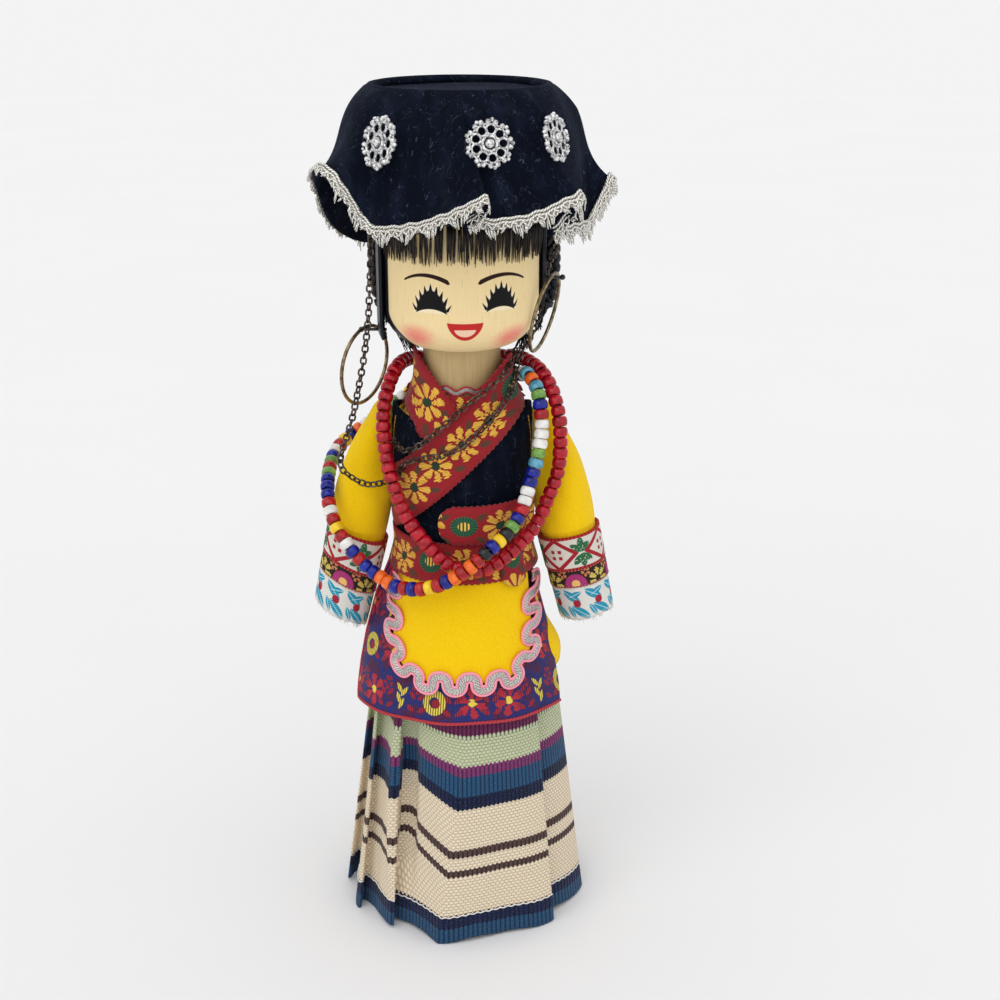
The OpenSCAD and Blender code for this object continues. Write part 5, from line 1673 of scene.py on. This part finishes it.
def rosettes(hem):
    """Pressed silver flowers: rings of wire, loops for petals, balls at their tips and a domed heart."""
    parts = []
    ball = shape_of(add_ball(0.5, 12, 8))
    petals = 9

    def wire_ring(ring, wire, x, y, high):
        points, faces = shape_of(add_ring(ring, wire, 28, 6))
        parts.append((points + [x, y, high], faces))

    wire_ring(1.35, 0.32, 0, 0, 0.75)
    wire_ring(3.55, 0.22, 0, 0, 0.3)
    parts.append((ball[0] * 1.75 + [0, 0, 0.9], ball[1]))
    for k in range(petals):
        a = 2 * math.pi * k / petals
        wire_ring(0.92, 0.24, 2.6 * math.cos(a), 2.6 * math.sin(a), 0.5)
        for shift, ring, grow in ((-0.17, 3.95, 1.05), (0.17, 3.95, 1.05), (0, 4.35, 0.8)):
            tip = [ring * math.cos(a + shift), ring * math.sin(a + shift), 0.55]
            parts.append((ball[0] * grow + tip, ball[1]))
    stock = Stock()
    for angle, turn, high, grow in ((-36, -14, 176.5, 1.14), (14, 0, 176.8, 1.05), (48.5, 12, 177, 1.05)):
        near = angle + np.array([-8, -4, 0, 4, 8])
        stand = np.interp(near, hem[0], hem[1])
        t = (HAT_TOP - high) / (HAT_TOP - HEM_Z - HEM_LIFT * stand)
        r = float(np.max(crown_side(t) + HEM_FLARE * stand * t ** 5)) + 0.55
        tilt = 14
        place = (Matrix.Translation(Vector(on_round(r, angle, high)))
                 @ Matrix.Rotation(math.radians(angle + turn), 4, "Z")
                 @ Matrix.Rotation(math.radians(90 - tilt), 4, "X"))
        turned, shift = np.array(place.to_3x3()), np.array(place.translation)
        for points, faces in parts:
            stock.mesh(points @ turned.T * grow + shift, faces)
    dress(stock.make("hat_rosettes"), "head", silver, ["hat_rosettes"], "silver_filigree")


# Arms

ARM_LEAN, PIVOT_X, PIVOT_Z = 10, 18.6, 116.5


def arm_place(side, points):
    """From the arm's own frame, with depth below the pin as -Z, to the doll."""
    a = math.radians(-side * ARM_LEAN)
    turn = np.array([[math.cos(a), 0, math.sin(a)], [0, 1, 0], [-math.sin(a), 0, math.cos(a)]])
    return points @ turn.T + np.array([side * PIVOT_X, 0, PIVOT_Z])


def splay(side, points):
    """Draw the wrist in and outwards below the sleeve. The left one slants, lower towards the body."""
    x, y, depth = points[..., 0], points[..., 1], -points[..., 2]
    share = np.clip((depth - 26.5) / 19.8, 0, 1.1)
    slant = (0.3 if side < 0 else 0.03) * np.clip((depth - 24.5) / 3, 0, 1) * -side * x
    narrow = 1 - 0.17 * share
    return together(x * narrow + side * share, y * narrow, -depth - slant)


# Depth below the pin, half width, half depth front to back, and shift towards the body
SLEEVE = [
    (-3.5, 0.9, 1.6, 1.2), (-2, 2, 3.3, 1.2), (1, 2.8, 4.4, 0.9), (5, 4, 5.2, 0.4), (10, 5.2, 5.8, 0),
    (16, 6.3, 6.3, 0), (21, 6.4, 6.4, 0), (25.2, 6.25, 6.25, 0), (26.5, 6.1, 6.1, 0), (35, 5.9, 5.9, 0),
    (41.8, 5.6, 5.6, 0)]

# Depth of each cuff's upper and lower edge, its finish and its slot
CUFFS = [
    ("upper", 26.5, 34.2, diamond_ribbon, "white_ribbon"),
    ("middle", 34.3, 38.4, black_ribbon, "black_ribbon"),
    ("lower", 38.5, 46.3, leaf_ribbon, "turquoise_ribbon")]
CUFF_R = 6.95


def sleeves():
    for side, word in ((-1, "left"), (1, "right")):
        rings = smooth_line(SLEEVE, 5)
        turn = np.linspace(0, 2 * math.pi, 64, endpoint=False)
        depth = rings[:, :1]
        soft = np.exp(-((depth - 15) / 9) ** 2)
        pucker = 1 + 0.014 * np.sin(turn * 3 + depth * 0.25 + side) * soft
        pucker = pucker + 0.012 * np.sin(turn * 7 - depth * 0.5) * soft
        pucker = pucker - 0.03 * np.clip(side * np.cos(turn), 0, 1) * soft
        gather = 1 - 0.02 * np.exp(-((depth - 26.3) / 0.8) ** 2) * (1 + np.sin(turn * 17))
        x = rings[:, 1:2] * np.cos(turn) * pucker * gather - side * rings[:, 3:4]
        y = rings[:, 2:3] * np.sin(turn) * pucker * gather
        points = arm_place(side, splay(side, together(x, y, -depth)))
        stock = Stock()
        runs = np.broadcast_to(np.linspace(0, 38, 65)[None], (len(rings), 65))
        stock.grid(points, together(runs, depth), round_cols=True, flip=True)
        stock.caps(len(rings), len(turn), flip=True)
        obj = stock.make(word + "_sleeve")
        dress(obj, word + "_arm", felt, [word + "_sleeve"], "yellow_felt")
        for k, values in enumerate(CUFFS):
            cuff(side, word, k, *values)


def cuff(side, word, k, band, high, low, material, slot):
    """One ribbon round the sleeve. The lower one has frayed threads at its edge."""
    turn = np.linspace(0, 2 * math.pi, 240, endpoint=False)
    share = np.linspace(0, 1, 12)[:, None]
    wobble = 0.1 * np.sin(2 * turn + k + side) + 0.06 * np.sin(5 * turn + 2 * k)
    edge = 0.12 * abs(np.sin(turn * 17)) if k < 2 else 0.3 * np.sin(turn * 3 + 1) + 0.14 * np.sin(turn * 23)
    depth = low + (high - low) * share
    depth = depth + edge * (1 - share) ** 3 * 0.6
    r = CUFF_R + 0.1 * k + 0.3 * (1 - share) + wobble
    points = together(r * np.cos(turn), r * np.sin(turn), -depth)
    points = arm_place(side, splay(side, points))
    runs = np.linspace(0, 2 * math.pi * CUFF_R, 241)
    middle = (high + low) / 2
    places = together(runs[None], all_round(middle - depth))
    obj = cloth(f"{word}_{band}_cuff", points, places, 0.55, round_cols=True)
    dress(obj, word + "_arm", material, [f"{word}_{band}_cuff"], slot)
    if band == "lower":
        stock = Stock()
        for _ in range(90):
            a = dice.uniform(0, 2 * math.pi)
            reach = dice.uniform(0.3, 1.0)
            fray_r = 7.2
            root = np.array([fray_r * math.cos(a), fray_r * math.sin(a), -low + 0.5])
            tip = root + [dice.uniform(-0.3, 0.3), dice.uniform(-0.3, 0.3), -0.5 - reach]
            line = splay(side, np.array([root, root * 0.5 + tip * 0.5, tip]))
            stock.tube(arm_place(side, line), np.array([0.1, 0.09, 0.05]), 4)
        dress(stock.make(f"{word}_cuff_fray"), word + "_arm", white_thread, slot=slot)


skirt()
tunic()
bodice()
lapels()
neck_facing()
collar_back()
collar_trim()
belts()
apron_border()
apron_panel()
apron_trim()
strings()
chains()
hoops()
ear_pins()
hair_shell()
hair_fringe()
loose_hairs()
braids()
braid_ties()
rosettes(hat())
sleeves()


# Floor, light and camera

def lay_floor():
    select_none()
    bpy.ops.mesh.primitive_plane_add(size=4, location=(0, 0, 0))
    floor = bpy.context.object
    floor.name = "floor"

    def paint_floor(tree):
        cloud = speckle(body_place(tree, (8, 8, 8)), 1.0)
        return {"colour": mix(cloud, shade(240, 240, 241), shade(244, 244, 245))}

    floor.data.materials.append(finish("pale_floor", paint_floor, rough=0.7, specular=0.2))


def light_sky():
    """A white sky, a little brighter where it is seen than where it lights."""
    world = bpy.data.worlds.new("studio")
    bpy.context.scene.world = world
    world.use_nodes = True
    tree = world.node_tree
    back = tree.nodes["Background"]
    back.inputs["Color"].default_value = (1, 1, 1, 1)
    path = tree.nodes.new("ShaderNodeLightPath")
    rays = [Field(tree, path.outputs[f"Is {kind} Ray"]) for kind in ("Camera", "Glossy", "Transmission")]
    seen = functools.reduce(most, rays)
    put(tree, back.inputs["Strength"], seen * 0.16 + 0.74)


def hang_lights():
    for name, lean, turn, strength, spread in (
            ("key_light", 48, -34, 0.62, 50), ("fill_light", 55, 42, 0.3, 80),
            ("top_light", 12, 160, 0.28, 70)):
        light = bpy.data.lights.new(name, "SUN")
        light.energy = strength
        light.angle = math.radians(spread)
        lamp = bpy.data.objects.new(name, light)
        bpy.context.collection.objects.link(lamp)
        lamp.location = (0, 0, 1)
        lamp.rotation_euler = (math.radians(lean), 0, math.radians(turn))


def set_camera():
    camera = bpy.data.cameras.new("camera")
    camera.lens = 57.85
    camera.sensor_width = 36
    camera.clip_start = 0.01
    eye = bpy.data.objects.new("camera", camera)
    bpy.context.collection.objects.link(eye)
    eye.location = (0.00815, -0.334, 0.2142)
    pitch_down = 19.37
    eye.rotation_euler = (math.radians(90 - pitch_down), 0, 0)
    scene = bpy.context.scene
    scene.camera = eye
    scene.view_settings.view_transform = "Standard"


lay_floor()
light_sky()
hang_lights()
set_camera()
bpy.context.view_layer.update()
